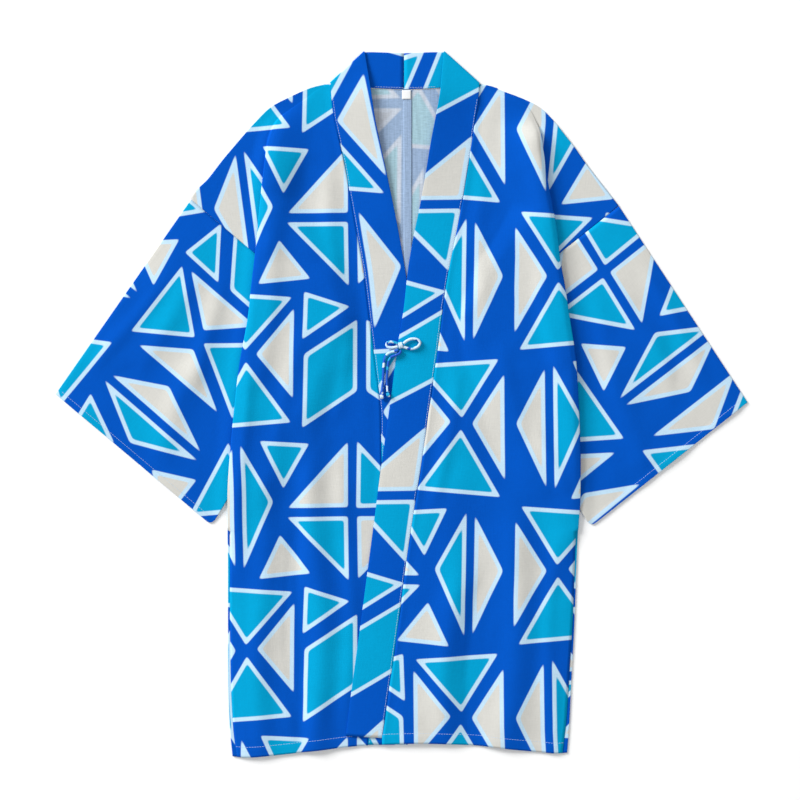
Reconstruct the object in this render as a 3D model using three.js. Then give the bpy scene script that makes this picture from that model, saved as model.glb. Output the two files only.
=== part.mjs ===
// A haori laid flat on its back, front side up: a cotton jacket with wide tube sleeves, a doubled
// collar band from hem to hem, and two thin ties in a small bow. Millimetres, +Z up, collar to +Y.
import * as THREE from 'three';
import { mergeVertices } from 'three/addons/utils/BufferGeometryUtils.js';

// Driving sizes
const CLOTH = 1.0; // wall of one layer of cloth
const PITCH = 1.35; // from one layer to the next that lies on it
const SEAM_GAP = 0.3; // between two pieces at a seam
const BAND_SEAM_GAP = 0.45; // between a front and the band's edge, which has facets
const BAND = 2.0; // doubled cloth of the collar band
const BAND_TURN = 1.2; // radius at which the band turns over beside the neck
const BAND_TURN_STEPS = 6;
const BAND_SECTION = [0, 0.25, 0.5, 0.75, 1]; // points across the band, seam to free edge
const TURN_STEPS = 4; // facets in half a turn of folded cloth
const TURN_CLEARANCE = 2.4; // four times the extra height of a front over a half made fold
const RAMP = 18; // width over which cloth comes down from a stack of layers
const RAMP_START = 3; // it begins this far outside the side fold
const STACK_MARGIN = 8; // the front stays level this far inside the stack below it
const STACK_SLOPE = 34; // and comes down to the back over this width
const LEVEL_SHARE = 0.5; // but stays level over at least this share of its way to the stack
const LOW_SHARE = 0.4; // and is low over this share of the way to there
const FRONT_SECTION = [0, 0.2, 0.4, 0.6, 0.8]; // points across the low part of a front
const BACK_SECTION = [0, 0.25, 0.5, 0.75, 1]; // points across a back panel, up to its side fold
const OVERLAP_RISE = 2.55; // how much higher the right front starts where it lies on the left band
const OVERLAP_Y = 260; // where it starts to rise
const OVERLAP_RUN = 70; // and over what length
const OVERLAP_WIDTH = 42; // it stays up this far beside its seam
const OVERLAP_SLOPE = 30; // and comes down over this width
const FOLD_FADE = 3; // a soft fold is full after a third of its length
const FOLD_CALM = 20; // and fades over this width towards the band
const SHOULDER_STEP = 0.4; // least distance between points of the shoulder part
const SHOULDER_END_STEP = 0.8; // and where they crowd towards the armhole
const CUFF_ROUND = 7; // how far the lower corner of the cuff is rounded off
const CUFF_ROUND_WIDTH = 0.15; // over this share of the cuff
const CUFF_ROUND_LENGTH = 0.2; // and this share of the sleeve's length
const SLEEVE_WIDTHS = [0.004, 0.12, 0.24, 0.32, 0.38, 0.44, 0.5, 0.6, 0.74, 0.88, 0.996];
const SLEEVE_RAMP = [-8, 3, 9, 15, 21]; // stations beside the place where it leaves the body
const SLEEVE_SHARES = [0.2, 0.4, 0.6, 0.8, 1]; // stations from there to the cuff
const SLEEVE_STEP = 1.2; // least distance between stations
const SLEEVE_TURN_STEPS = 4;
const CORD = 3.2; // tie diameter
const CORD_SEGMENTS = 8;
const CENTRE_BACK = 12.3; // x of the seam between the two back panels
const NECK_Y = 383.2; // seam between back panels and collar
const NECK_CORNER_LEFT = 74; // where that seam meets the shoulder, from x = 0
const NECK_CORNER_RIGHT = 82;
const HEM_EASE_Y = -250; // below this the rows bend to the curve of the hem
const HEM_ROW_Y = -415; // the lowest row, which becomes the hem

const FLOOR_LEVEL = CLOTH / 2; // middle of cloth that lies on the ground
const FRONT_LEVEL = FLOOR_LEVEL + PITCH; // middle of cloth that lies on the back

const NAVY = 0x0a58c8;
const SKY = 0x0aa6dc;
const ICE = 0xc8e6ff;
const LABEL_WHITE = 0xf0f2f4;

const rowsOf = (names, table) =>
  table.map((values) => Object.fromEntries(names.map((name, k) => [name, values[k]])));
const clamp = (value, low, high) => Math.min(Math.max(value, low), high);
const smooth = (t) => {
  const u = clamp(t, 0, 1);
  return u * u * (3 - 2 * u);
};
const mix = (a, b, t) => a + (b - a) * t;

// Value of a column of a table at one y, between its rows
function along(table, column, y) {
  const k = table.slice(1, -1).filter((row) => row.y > y).length + 1;
  const [above, below] = [table[k - 1], table[k]];
  return mix(above[column], below[column], clamp((above.y - y) / (above.y - below.y), 0, 1));
}

// Each row crosses one half of the body at a height y, and distances run outwards from x = 0.
// At the shoulder: the side fold, how far it is turned over, how deep the tuck behind it is, and
// the armhole edge of the cloth that comes out again.
const SHOULDER_COLUMNS = ['y', 'fold', 'turn', 'lap', 'edge'];
// Below it: the side fold, the tuck, and how many layers lie between the front and the back there.
const SIDE_COLUMNS = ['y', 'fold', 'lap', 'under'];
const SHOULDER_LEFT = rowsOf(SHOULDER_COLUMNS, [
  [385.9, 93.0, 0.0, 1, 108.5],
  [382.9, 99.5, 0.0, 1, 116.5],
  [373.1, 112.5, 0.0, 1, 139.5],
  [362.1, 128.5, 0.0, 1, 160.0],
  [343.8, 150.5, 0.1, 1, 179.5],
  [320.7, 160.0, 0.3, 1, 200.5],
  [297.6, 164.0, 0.55, 1, 220.0],
  [275.6, 167.0, 0.8, 1, 235.5],
  [249.4, 170.0, 1.0, 2, 256.0],
  [230.0, 172.0, 1.0, 20, 233.2],
  [205.0, 174.0, 1.0, 41, 203.6],
  [196.0, 175.0, 1.0, 48.3, 193.0],
  [187.0, 176.0, 1.0, 55.7, 182.4],
  [178.0, 177.0, 1.0, 63, 171.8],
  [144.1, 181.0, 1.0, 86, 131.5],
  [107.5, 185.0, 1.0, 103, 88.5],
]);
const SIDE_LEFT = rowsOf(SIDE_COLUMNS, [
  [48.0, 195.5, 90, 4],
  [-7.0, 202.0, 69, 4],
  [-62.0, 207.0, 47, 4],
  [-113.0, 210.5, 25, 4],
  [-153.0, 212.0, 7, 2],
  [-175.0, 212.0, 7, 1],
  [-195.7, 212.0, 6, 0],
  [-262.7, 212.0, 6, 0],
  [-335.8, 211.0, 6, 0],
  [-384.5, 209.5, 6, 0],
  [-415.0, 206.0, 6, 0],
]);
const SHOULDER_RIGHT = rowsOf(SHOULDER_COLUMNS, [
  [385.9, 102.0, 0.0, 1, 116.0],
  [382.9, 107.5, 0.0, 1, 122.0],
  [373.1, 121.0, 0.0, 1, 148.0],
  [362.1, 134.5, 0.0, 1, 168.5],
  [343.8, 154.0, 0.1, 1, 188.0],
  [320.7, 167.5, 0.3, 1, 207.5],
  [297.6, 171.5, 0.55, 1, 226.0],
  [275.6, 175.5, 0.8, 1, 242.0],
  [241.5, 182.0, 1.0, 2, 264.5],
  [225.0, 185.0, 1.0, 18, 243.8],
  [205.0, 188.0, 1.0, 37, 218.7],
  [196.0, 189.3, 1.0, 45.3, 207.4],
  [187.0, 190.7, 1.0, 53.7, 196.1],
  [178.0, 192.0, 1.0, 62, 184.8],
  [144.1, 197.0, 1.0, 88, 142.2],
  [107.5, 202.5, 1.0, 113, 96.3],
]);
const SIDE_RIGHT = rowsOf(SIDE_COLUMNS, [
  [48.0, 211.0, 100, 4],
  [-7.0, 214.0, 76, 4],
  [-62.0, 216.0, 51, 4],
  [-113.0, 216.5, 26, 4],
  [-153.0, 216.0, 7, 2],
  [-175.0, 215.0, 7, 1],
  [-195.7, 214.0, 6, 0],
  [-262.7, 212.0, 6, 0],
  [-335.8, 208.5, 6, 0],
  [-384.5, 206.5, 6, 0],
  [-415.0, 204.0, 6, 0],
]);
// layers: tuck and shoulder part (3), tuck alone (2), or a lip that only the back has (1)
const bodyRows = (shoulder, side) => [
  ...shoulder.map((row) => ({ ...row, layers: 3 })),
  ...side.map((row) => ({ ...row, turn: 1, layers: row.under > 1 ? 2 : 1 })),
];
const BODY_LEFT = bodyRows(SHOULDER_LEFT, SIDE_LEFT);
const BODY_RIGHT = bodyRows(SHOULDER_RIGHT, SIDE_RIGHT);

// Soft folds that stand up in the fronts: from (outTop, yTop) to (outEnd, yEnd)
const FOLD_COLUMNS = ['outTop', 'yTop', 'outEnd', 'yEnd', 'width', 'height'];
const FOLDS_LEFT = rowsOf(FOLD_COLUMNS, [
  [112, 60, 98, -415, 30, 5.0],
  [168, -40, 172, -415, 26, 3.5],
]);
const FOLDS_RIGHT = rowsOf(FOLD_COLUMNS, [
  [70, -150, 52, -415, 30, 5.0],
  [150, -60, 128, -415, 34, 4.5],
]);

// Lower edge: y of the hem across the whole garment
const HEM = rowsOf(['x', 'y'], [
  [-213, -427.5], [-190, -430.3], [-153, -427.2], [-104, -421.7], [-46, -415.5],
  [22, -413.0], [87, -415.0], [120, -418.6], [169, -423.5], [188, -425.0], [213, -423.0],
]);

// Collar band, front part: both edges at each section, and how high its middle lies
const BAND_COLUMNS = ['seamX', 'seamY', 'freeX', 'freeY', 'z'];
const BAND_LEFT = rowsOf(BAND_COLUMNS, [
  [-85.0, 372.0, -37.5, 385.0, 3.4],
  [-82.2, 351.0, -32.5, 350.0, 2.9],
  [-74.9, 318.0, -26.2, 319.0, 2.4],
  [-67.6, 283.0, -18.3, 283.0, 2.4],
  [-53.6, 205.0, -2.4, 204.0, 2.4],
  [-45.7, 161.0, 4.9, 161.0, 2.4],
  [-39.6, 112.4, 11.6, 112.4, 2.4],
  [-32.3, 54.0, 18.9, 54.0, 2.4],
  [-25.0, -9.4, 23.8, -9.4, 2.4],
  [-23.8, -116.6, 24.4, -116.6, 2.4],
  [-29.8, -238.4, 18.9, -238.4, 2.4],
  [-35.9, -335.8, 11.6, -335.8, 2.4],
  [-40.8, -414.5, 7.3, -414.5, 2.4],
]);
const BAND_RIGHT = rowsOf(BAND_COLUMNS, [
  [93.5, 371.0, 47.5, 385.0, 3.4],
  [90.3, 351.0, 42.0, 352.0, 2.9],
  [85.9, 320.7, 35.9, 320.7, 2.4],
  [79.8, 283.0, 29.8, 283.0, 2.4],
  [74.3, 248.8, 23.8, 248.8, 2.6],
  [65.2, 201.0, 14.0, 200.5, 3.6],
  [57.9, 166.0, 8.2, 166.0, 4.8],
  [50.6, 120.9, 3.0, 118.5, 4.8],
  [43.8, 66.1, -5.5, 65.0, 4.8],
  [37.1, 19.9, -11.0, 21.5, 4.8],
  [24.4, -70.3, -23.8, -70.3, 4.8],
  [8.5, -171.4, -37.1, -171.4, 4.8],
  [-3.5, -262.5, -49.3, -264.0, 4.8],
  [-16.4, -354.1, -61.5, -354.1, 4.8],
  [-23.8, -406.0, -67.6, -403.5, 4.8],
]);
// Back part of the band, from the centre joint to the turn beside the neck, and the turn itself
const NECK_COLUMNS = ['seamX', 'seamY', 'freeX', 'freeY'];
const NECK_LEFT = rowsOf(NECK_COLUMNS, [
  [2.8, 383.8, 2.8, 427.3],
  [-26.0, 384.8, -22.0, 428.2],
  [-58.0, 387.4, -35.0, 428.6],
  [-86.0, 390.2, -44.6, 428.4],
]);
const NECK_RIGHT = rowsOf(NECK_COLUMNS, [
  [3.2, 383.8, 3.2, 427.3],
  [30.0, 384.5, 27.0, 428.2],
  [66.0, 387.0, 41.5, 428.6],
  [94.4, 389.6, 51.2, 428.4],
]);

// Sleeve corners in the plane: shoulder and underarm ends of the armhole seam, then the cuff's
const SLEEVE_LEFT = {
  shoulder: [-256.4, 249.4], underarm: [-79.8, 100.2], cuffTop: [-419.6, 15.0], cuffEnd: [-232.0, -144.6],
};
const SLEEVE_RIGHT = {
  shoulder: [264.9, 241.5], underarm: [85.9, 99.0], cuffTop: [419.6, 2.4], cuffEnd: [233.9, -147.0],
};
const LABEL_SIZE = [11, 10.8, 0.5];
const LABEL_PLACE = [6.1, 376.8, CLOTH + SEAM_GAP + 0.25];

// A closed wall around a grid of middle points. Where a row is shorter, the cloth is cut there:
// only cells with all four corners are made, and every free edge of theirs is closed by a rim.
function wall(rows, thickness) {
  const starts = [];
  let count = 0;
  for (const row of rows) {
    starts.push(count);
    count += row.length;
  }
  const at = (i, j) => rows[i][clamp(j, 0, rows[i].length - 1)];
  const positions = new Float32Array(count * 6);
  rows.forEach((row, i) => row.forEach((point, j) => {
    const across = at(i, j + 1).clone().sub(at(i, j - 1));
    const below = i + 1 < rows.length && j < rows[i + 1].length ? i + 1 : i;
    const above = i > 0 && j < rows[i - 1].length ? i - 1 : i;
    const offset = across.cross(at(below, j).clone().sub(at(above, j))).setLength(thickness / 2);
    point.clone().add(offset).toArray(positions, (starts[i] + j) * 3);
    point.clone().sub(offset).toArray(positions, (count + starts[i] + j) * 3);
  }));
  const cells = [];
  for (let i = 0; i + 1 < rows.length; i += 1) {
    for (let j = 0; j + 1 < Math.min(rows[i].length, rows[i + 1].length); j += 1) {
      const [here, next] = [starts[i] + j, starts[i + 1] + j];
      cells.push([here, here + 1, next + 1, next]);
    }
  }
  return closed(positions, shell(cells, positions));
}

// Faces of both sides of the cells, split along their shorter diagonal, and the rims along edges
// that only one cell has. The second half of the positions is the other side.
function shell(cells, positions) {
  const count = positions.length / 6;
  const span = (a, b) => Math.hypot(...[0, 1, 2].map((k) => positions[3 * a + k] - positions[3 * b + k]));
  const faces = [];
  const quad = (a, b, c, d) => faces.push(a, b, c, a, c, d);
  const edges = new Set(cells.flatMap((cell) => cell.map((a, k) => `${a},${cell[(k + 1) % 4]}`)));
  for (const cell of cells) {
    const shorter = span(cell[0], cell[2]) < span(cell[1], cell[3]);
    const [a, b, c, d] = shorter ? cell : [...cell.slice(1), cell[0]];
    quad(a, b, c, d);
    quad(a + count, d + count, c + count, b + count);
    cell.forEach((from, k) => {
      const to = cell[(k + 1) % 4];
      if (!edges.has(`${to},${from}`)) quad(to, from, from + count, to + count);
    });
  }
  return faces;
}

// A wall around rings of middle points, open at both ends like a sleeve
function tube(rings, thickness) {
  const sides = rings[0].length;
  const count = rings.length * sides;
  const wrap = (j) => (j + sides) % sides;
  const index = (i, j) => i * sides + wrap(j);
  const positions = new Float32Array(count * 6);
  rings.forEach((ring, i) => ring.forEach((point, j) => {
    const around = ring[wrap(j + 1)].clone().sub(ring[wrap(j - 1)]);
    const next = rings[Math.min(i + 1, rings.length - 1)][j];
    const before = rings[Math.max(i - 1, 0)][j];
    const offset = around.cross(next.clone().sub(before)).setLength(thickness / 2);
    point.clone().add(offset).toArray(positions, index(i, j) * 3);
    point.clone().sub(offset).toArray(positions, (count + index(i, j)) * 3);
  }));
  const cells = [];
  for (let i = 0; i + 1 < rings.length; i += 1) {
    for (let j = 0; j < sides; j += 1) {
      cells.push([index(i, j), index(i, j + 1), index(i + 1, j + 1), index(i + 1, j)]);
    }
  }
  return closed(positions, shell(cells, positions));
}

// Indexed geometry whose faces point outwards
function closed(positions, faces) {
  const [a, b, c] = [new THREE.Vector3(), new THREE.Vector3(), new THREE.Vector3()];
  let volume = 0;
  for (let k = 0; k < faces.length; k += 3) {
    a.fromArray(positions, faces[k] * 3);
    b.fromArray(positions, faces[k + 1] * 3);
    c.fromArray(positions, faces[k + 2] * 3);
    volume += a.dot(b.cross(c));
  }
  const geometry = new THREE.BufferGeometry();
  geometry.setAttribute('position', new THREE.BufferAttribute(positions, 3));
  geometry.setIndex(volume < 0 ? faces.reverse() : faces);
  return geometry;
}

// Headings and lengths of cloth that folds over, runs back and, where double, folds out again
function foldSteps(row, double) {
  const half = Array.from({ length: TURN_STEPS }, (_, k) => ((k + 0.5) / TURN_STEPS) * Math.PI);
  const length = PITCH / half.reduce((sum, heading) => sum + Math.sin(heading), 0);
  const turn = half.map((heading) => ({ heading: heading * row.turn, length }));
  const lap = { heading: row.turn * Math.PI, length: row.lap };
  return double ? [...turn, lap, ...[...turn].reverse()] : [...turn, lap];
}
const foldRise = (row) =>
  foldSteps(row, true).reduce((sum, part) => sum + part.length * Math.sin(part.heading), 0);

function ridge(folds, out, y) {
  let height = 0;
  for (const fold of folds) {
    const t = (fold.yTop - y) / (fold.yTop - fold.yEnd);
    const middle = mix(fold.outTop, fold.outEnd, clamp(t, 0, 1));
    const beside = (out - middle) / fold.width;
    height += fold.height * smooth(t * FOLD_FADE) * Math.max(0, 1 - beside * beside) ** 2;
  }
  return height;
}

// The hem is a curve, so the lowest rows bend towards it
function easeToHem(x, y) {
  const ease = smooth((HEM_EASE_Y - y) / (HEM_EASE_Y - HEM_ROW_Y));
  const k = HEM.slice(1, -1).filter((point) => point.x < x).length + 1;
  const [before, after] = [HEM[k - 1], HEM[k]];
  const hem = mix(before.y, after.y, clamp((x - before.x) / (after.x - before.x), 0, 1));
  return y + ease * (hem - HEM_ROW_Y);
}

// Cloth beyond the side fold: down from the stack of layers to the ground or the layer below
function shoulderPart(row, from, ground, side) {
  const end = row.edge - SEAM_GAP / 2;
  const start = Math.max(row.fold + RAMP_START, from + SHOULDER_STEP);
  const wanted = [start, start + RAMP / 2, start + RAMP, mix(start + RAMP, end, 0.5), end];
  let last = from;
  return wanted.map((position, k) => {
    const crowded = end - (wanted.length - 1 - k) * SHOULDER_END_STEP;
    last = Math.max(last + SHOULDER_STEP, Math.min(position, crowded));
    const down = smooth((last - start) / RAMP);
    return new THREE.Vector3(side * last, row.y, ground + foldRise(row) * (1 - down));
  });
}

function foldedPart(row, level, direction, side) {
  const points = [];
  let [out, z] = [row.fold, level];
  for (const part of foldSteps(row, row.layers === 3)) {
    out += part.length * Math.cos(part.heading);
    z += direction * part.length * Math.sin(part.heading);
    points.push(new THREE.Vector3(side * out, row.y, z));
  }
  return { points, out };
}

// Where the front is sewn to the collar band, as a distance from x = 0
function bandSeam(neck, band, side, y) {
  const line = [neck[neck.length - 1], ...band].map((row) => ({ y: row.seamY, out: side * row.seamX }));
  return along(line, 'out', y) + BAND_SEAM_GAP;
}

function frontPanel(rows, neck, band, folds, side, seamRise) {
  return wall(rows.map((row) => {
    const lift = row.layers === 3 ? 2 * foldRise(row) : row.under * PITCH;
    const ground = FRONT_LEVEL + TURN_CLEARANCE * row.turn * (1 - row.turn);
    const seam = bandSeam(neck, band, side, row.y);
    const edge = row.layers === 1 ? row.fold - row.lap - SEAM_GAP : row.fold;
    const stack = row.fold - row.lap;
    const level = Math.max(stack - STACK_MARGIN, mix(seam, stack, LEVEL_SHARE));
    const low = Math.max(level - STACK_SLOPE, mix(seam, level, LOW_SHARE));
    const outs = [...FRONT_SECTION.map((t) => mix(seam, low, t)), low, mix(low, level, 0.5), level,
      mix(level, edge, 0.5), edge];
    const rise = seamRise * smooth((OVERLAP_Y - row.y) / OVERLAP_RUN);
    const points = outs.map((out) => {
      const up = lift * smooth((out - low) / (level - low));
      const beside = rise * (1 - smooth((out - seam - OVERLAP_WIDTH) / OVERLAP_SLOPE));
      const wave = ridge(folds, out, row.y) * smooth((out - seam) / FOLD_CALM);
      return new THREE.Vector3(side * out, row.y, ground + Math.max(up, beside) + wave);
    });
    if (row.layers > 1) {
      const under = foldedPart(row, ground + lift, -1, side);
      points.push(...under.points);
      if (row.layers === 3) points.push(...shoulderPart(row, under.out, ground, side));
    }
    points.forEach((point) => { point.y = easeToHem(point.x, point.y); });
    return points;
  }), CLOTH);
}

// Back panels: flat on the ground, folded over at the sides, with the neck seam as first row
function backPanel(rows, neckCorner, side) {
  const neck = rows[0];
  const centre = side * CENTRE_BACK + SEAM_GAP / 2;
  return wall(rows.map((row) => {
    const inner = row === neck ? neckCorner : centre;
    const y = row === neck ? row.y : Math.min(row.y, NECK_Y - SEAM_GAP);
    const points = BACK_SECTION.map(
      (t) => new THREE.Vector3(side * mix(inner, row.fold, t), y, FLOOR_LEVEL),
    );
    const under = foldedPart(row, FLOOR_LEVEL, 1, side);
    points.push(...under.points);
    if (row.layers === 3) points.push(...shoulderPart(row, under.out, FLOOR_LEVEL, side));
    points.forEach((point) => { point.y = easeToHem(point.x, Math.min(point.y, y)); });
    return points;
  }), CLOTH);
}

// Height of the lower cloth of a sleeve: on the ground, and up over the back where it goes under
function sleeveLevel(rows, out, y) {
  const full = 2 * PITCH;
  return FLOOR_LEVEL + full * (1 - smooth((out - along(rows, 'fold', y) - RAMP_START) / RAMP));
}

function sleeve(corners, rows, side) {
  const place = (t, w) => {
    const start = corners.shoulder.map((value, k) => mix(value, corners.underarm[k], w));
    const end = corners.cuffTop.map((value, k) => mix(value, corners.cuffEnd[k], w));
    return start.map((value, k) => mix(value, end[k], t));
  };
  const length = Math.hypot(...corners.cuffTop.map((value, k) => value - corners.shoulder[k]));
  // where a line along the sleeve comes out from under the body
  const crossing = (w) => {
    for (let out = 0; out < length; out += SLEEVE_STEP) {
      const [x, y] = place(out / length, w);
      if (side * x > along(rows, 'fold', y)) return out;
    }
    return length;
  };
  const stations = SLEEVE_WIDTHS.map((w) => {
    const out = crossing(w);
    const rest = out + SLEEVE_RAMP[SLEEVE_RAMP.length - 1];
    const wanted = [...SLEEVE_RAMP.map((offset) => out + offset),
      ...SLEEVE_SHARES.map((t) => mix(rest, length, t))];
    const list = [SEAM_GAP / 2];
    wanted.forEach((position, k) => {
      const most = length - (wanted.length - 1 - k) * SLEEVE_STEP;
      list.push(clamp(position, list[k] + SLEEVE_STEP, most));
    });
    return list;
  });
  // away from the sleeve, square to one of its long edges
  const away = (start, end, other) => {
    const out = new THREE.Vector3(end[1] - start[1], start[0] - end[0], 0).normalize();
    const inwards = new THREE.Vector3(other[0] - start[0], other[1] - start[1], 0);
    return out.dot(inwards) > 0 ? out.negate() : out;
  };
  const topEdge = away(corners.shoulder, corners.cuffTop, corners.cuffEnd);
  const underEdge = away(corners.underarm, corners.cuffEnd, corners.cuffTop);
  const rings = stations[0].map((_, i) => {
    const lower = [];
    const upper = [];
    SLEEVE_WIDTHS.forEach((w, j) => {
      const towardsEnd = smooth((stations[j][i] / length - 1) / CUFF_ROUND_LENGTH + 1);
      const cut = CUFF_ROUND * smooth((w - 1) / CUFF_ROUND_WIDTH + 1) * towardsEnd;
      const [x, y] = place((stations[j][i] - cut) / length, w);
      const z = sleeveLevel(rows, side * x, y);
      lower.push(new THREE.Vector3(x, y, z));
      upper.push(new THREE.Vector3(x, y, z + PITCH));
    });
    const turn = (from, out) => Array.from({ length: SLEEVE_TURN_STEPS - 1 }, (_, k) => {
      const angle = ((k + 1) / SLEEVE_TURN_STEPS) * Math.PI;
      return from.clone().addScaledVector(out, (PITCH / 2) * Math.sin(angle))
        .setZ(from.z + (PITCH / 2) * (1 - Math.cos(angle)));
    });
    return [...lower, ...turn(lower[lower.length - 1], underEdge), ...upper.reverse(),
      ...turn(lower[0], topEdge).reverse()];
  });
  return tube(rings, CLOTH);
}

// The doubled band: flat behind the neck, over in a round turn, then down the front to the hem
function collarBand(neck, front) {
  const section = (row, z) => BAND_SECTION.map(
    (t) => new THREE.Vector3(mix(row.seamX, row.freeX, t), mix(row.seamY, row.freeY, t), z),
  );
  const low = BAND / 2;
  const rows = neck.map((row) => section(row, low));
  const last = neck[neck.length - 1];
  const away = new THREE.Vector3(-(last.freeY - last.seamY), last.freeX - last.seamX, 0);
  if (away.y < 0) away.negate();
  away.setLength(BAND_TURN);
  for (let k = 1; k <= BAND_TURN_STEPS; k += 1) {
    const angle = (k / BAND_TURN_STEPS) * Math.PI;
    rows.push(section(last, low + BAND_TURN * (1 - Math.cos(angle)))
      .map((point) => point.addScaledVector(away, Math.sin(angle))));
  }
  rows.push(...front.map((row) => section(row, row.z)));
  return wall(rows, BAND);
}

// Ties: two loops and two hanging ends come out of one flat knot. Each is [x, y, z].
const TIE_LOOP_LEFT = [
  [-4.6, 73.8, 7.9], [-8.5, 75.4, 7.5], [-13, 76.0, 6.8], [-16.8, 75.0, 6.3], [-18.2, 72.4, 6.1],
  [-16.8, 69.8, 6.1], [-13, 69.0, 6.7], [-8.5, 69.3, 7.5], [-4.6, 70.2, 7.9],
];
const TIE_LOOP_RIGHT = [
  [2.4, 73.9, 7.9], [6, 76.8, 7.8], [11, 79.2, 7.8], [16, 79.6, 7.8], [20.4, 78.0, 7.8],
  [22.4, 74.8, 7.8], [20.8, 71.2, 7.8], [17, 68.6, 7.8], [12, 67.4, 7.8], [6.5, 68.4, 7.8],
  [2.4, 69.8, 7.9],
];
const TIE_END_LONG = [
  [-4.0, 65.8, 7.9], [-8.5, 64.4, 7.5], [-13.5, 63.2, 6.2], [-18, 60.2, 5.4], [-20.6, 54.5, 5.3],
  [-21.5, 47, 5.3], [-21.9, 39, 5.3], [-22.4, 31, 5.3], [-23, 22, 5.3], [-23.7, 12.4, 5.3],
];
const TIE_END_SHORT = [
  [-0.3, 65.4, 7.9], [-2.6, 61.8, 7.9], [-7, 59.6, 7.8], [-11.8, 57.8, 6.3], [-15, 54, 5.4],
  [-16.4, 48, 5.3], [-17, 41, 5.3], [-17.6, 33, 5.3], [-17.4, 24, 5.3], [-16.6, 14.6, 5.3],
];
const KNOTS = {
  tie_knot: { place: [-1.1, 71.6, 8.3], size: [6.4, 8.0, 4.4] },
  tie_end_long_knot: { place: [-23.9, 9.1, 6.1], size: [5.2, 5.6, 4.6] },
  tie_end_short_knot: { place: [-16.3, 11.2, 6.1], size: [5.2, 5.6, 4.6] },
};

// A round cord along a smooth curve
function cord(points) {
  const route = points.map((point) => new THREE.Vector3(...point));
  const curve = new THREE.CatmullRomCurve3(route, false, 'centripetal');
  const section = new THREE.Shape();
  section.absarc(0, 0, CORD / 2, 0, 2 * Math.PI, false);
  const steps = Math.round(curve.getLength() / CORD);
  return new THREE.ExtrudeGeometry(section, {
    steps, curveSegments: CORD_SEGMENTS, extrudePath: curve, bevelEnabled: false,
  });
}

const garment = new THREE.Group();

function add(name, geometry, colour) {
  for (const attribute of ['normal', 'uv']) geometry.deleteAttribute(attribute);
  const material = new THREE.MeshStandardMaterial({ color: colour, roughness: 0.85, metalness: 0 });
  const mesh = new THREE.Mesh(mergeVertices(geometry, 1e-3), material);
  mesh.name = name;
  garment.add(mesh);
}

add('back_left', backPanel(BODY_LEFT, NECK_CORNER_LEFT, -1), NAVY);
add('back_right', backPanel(BODY_RIGHT, NECK_CORNER_RIGHT, 1), NAVY);
add('front_left', frontPanel(BODY_LEFT, NECK_LEFT, BAND_LEFT, FOLDS_LEFT, -1, 0), NAVY);
add('front_right', frontPanel(BODY_RIGHT, NECK_RIGHT, BAND_RIGHT, FOLDS_RIGHT, 1, OVERLAP_RISE), NAVY);
add('sleeve_left', sleeve(SLEEVE_LEFT, BODY_LEFT, -1), SKY);
add('sleeve_right', sleeve(SLEEVE_RIGHT, BODY_RIGHT, 1), SKY);
add('collar_left', collarBand(NECK_LEFT, BAND_LEFT), SKY);
add('collar_right', collarBand(NECK_RIGHT, BAND_RIGHT), NAVY);

add('tie_loop_left', cord(TIE_LOOP_LEFT), ICE);
add('tie_loop_right', cord(TIE_LOOP_RIGHT), ICE);
add('tie_end_long', cord(TIE_END_LONG), ICE);
add('tie_end_short', cord(TIE_END_SHORT), ICE);
for (const [name, { place, size }] of Object.entries(KNOTS)) {
  add(name, new THREE.SphereGeometry(0.5, 12, 8).scale(...size).translate(...place), ICE);
}
const label = new THREE.BoxGeometry(...LABEL_SIZE).translate(...LABEL_PLACE);
add('neck_label', label, LABEL_WHITE);

export default garment;
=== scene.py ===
"""A printed cotton haori laid flat on its back: cloth panels, sleeves, doubled collar band, ties,
stitching and label. Tables are in millimetres and follow the frame; meshes are in metres."""
import math

import bpy
import numpy as np
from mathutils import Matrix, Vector, noise


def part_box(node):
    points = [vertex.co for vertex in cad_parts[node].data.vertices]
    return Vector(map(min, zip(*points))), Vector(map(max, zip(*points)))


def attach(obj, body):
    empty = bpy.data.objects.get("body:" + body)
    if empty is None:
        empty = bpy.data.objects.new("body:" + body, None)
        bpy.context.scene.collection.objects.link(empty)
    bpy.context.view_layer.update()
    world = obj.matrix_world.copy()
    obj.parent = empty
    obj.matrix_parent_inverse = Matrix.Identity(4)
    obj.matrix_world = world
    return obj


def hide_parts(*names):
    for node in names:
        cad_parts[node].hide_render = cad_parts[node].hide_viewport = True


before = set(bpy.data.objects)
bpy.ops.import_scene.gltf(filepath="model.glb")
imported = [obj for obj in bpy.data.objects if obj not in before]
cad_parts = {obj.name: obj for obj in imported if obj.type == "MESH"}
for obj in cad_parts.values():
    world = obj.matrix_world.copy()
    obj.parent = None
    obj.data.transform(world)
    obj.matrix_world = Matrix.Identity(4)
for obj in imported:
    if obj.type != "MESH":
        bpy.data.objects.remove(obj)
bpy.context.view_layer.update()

MM = 0.001
CLOTH = 0.55  # one layer of cotton as it shows
PITCH = 0.85  # from one layer to the next that lies on it
BAND = 1.5  # doubled cloth of the collar band
BAND_TURN = 1.15  # radius at which the band turns over beside the neck
NECK_RISE = 5.0  # how far the band's free edge stands off beside the neck
NECK_RISE_RUN = 230.0
EVEN_BAND = 70.0  # how far below the neck the band's rows lie evenly
SEAM_GAP = 0.06  # each piece stops this far from its seam line
CENTRE_BACK = 12.3
CENTRE_ALLOWANCE = 10.0  # the left panel lies this far over the seam allowances at the centre
CENTRE_STEP = 0.75  # and this much higher there
NECK_Y = 383.2
HEM_ROW_Y = -415.0  # the lowest row before it bends to the curve of the hem
HEM_EASE_Y = -250.0  # rows below this one bend towards it little by little
SEAM_LIFT = 0.7  # how far the fronts rise to the thicker band at its seams
SEAM_LIFT_WIDTH = 9.0
RAMP = 15.0  # width over which cloth comes down from a stack of layers
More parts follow.
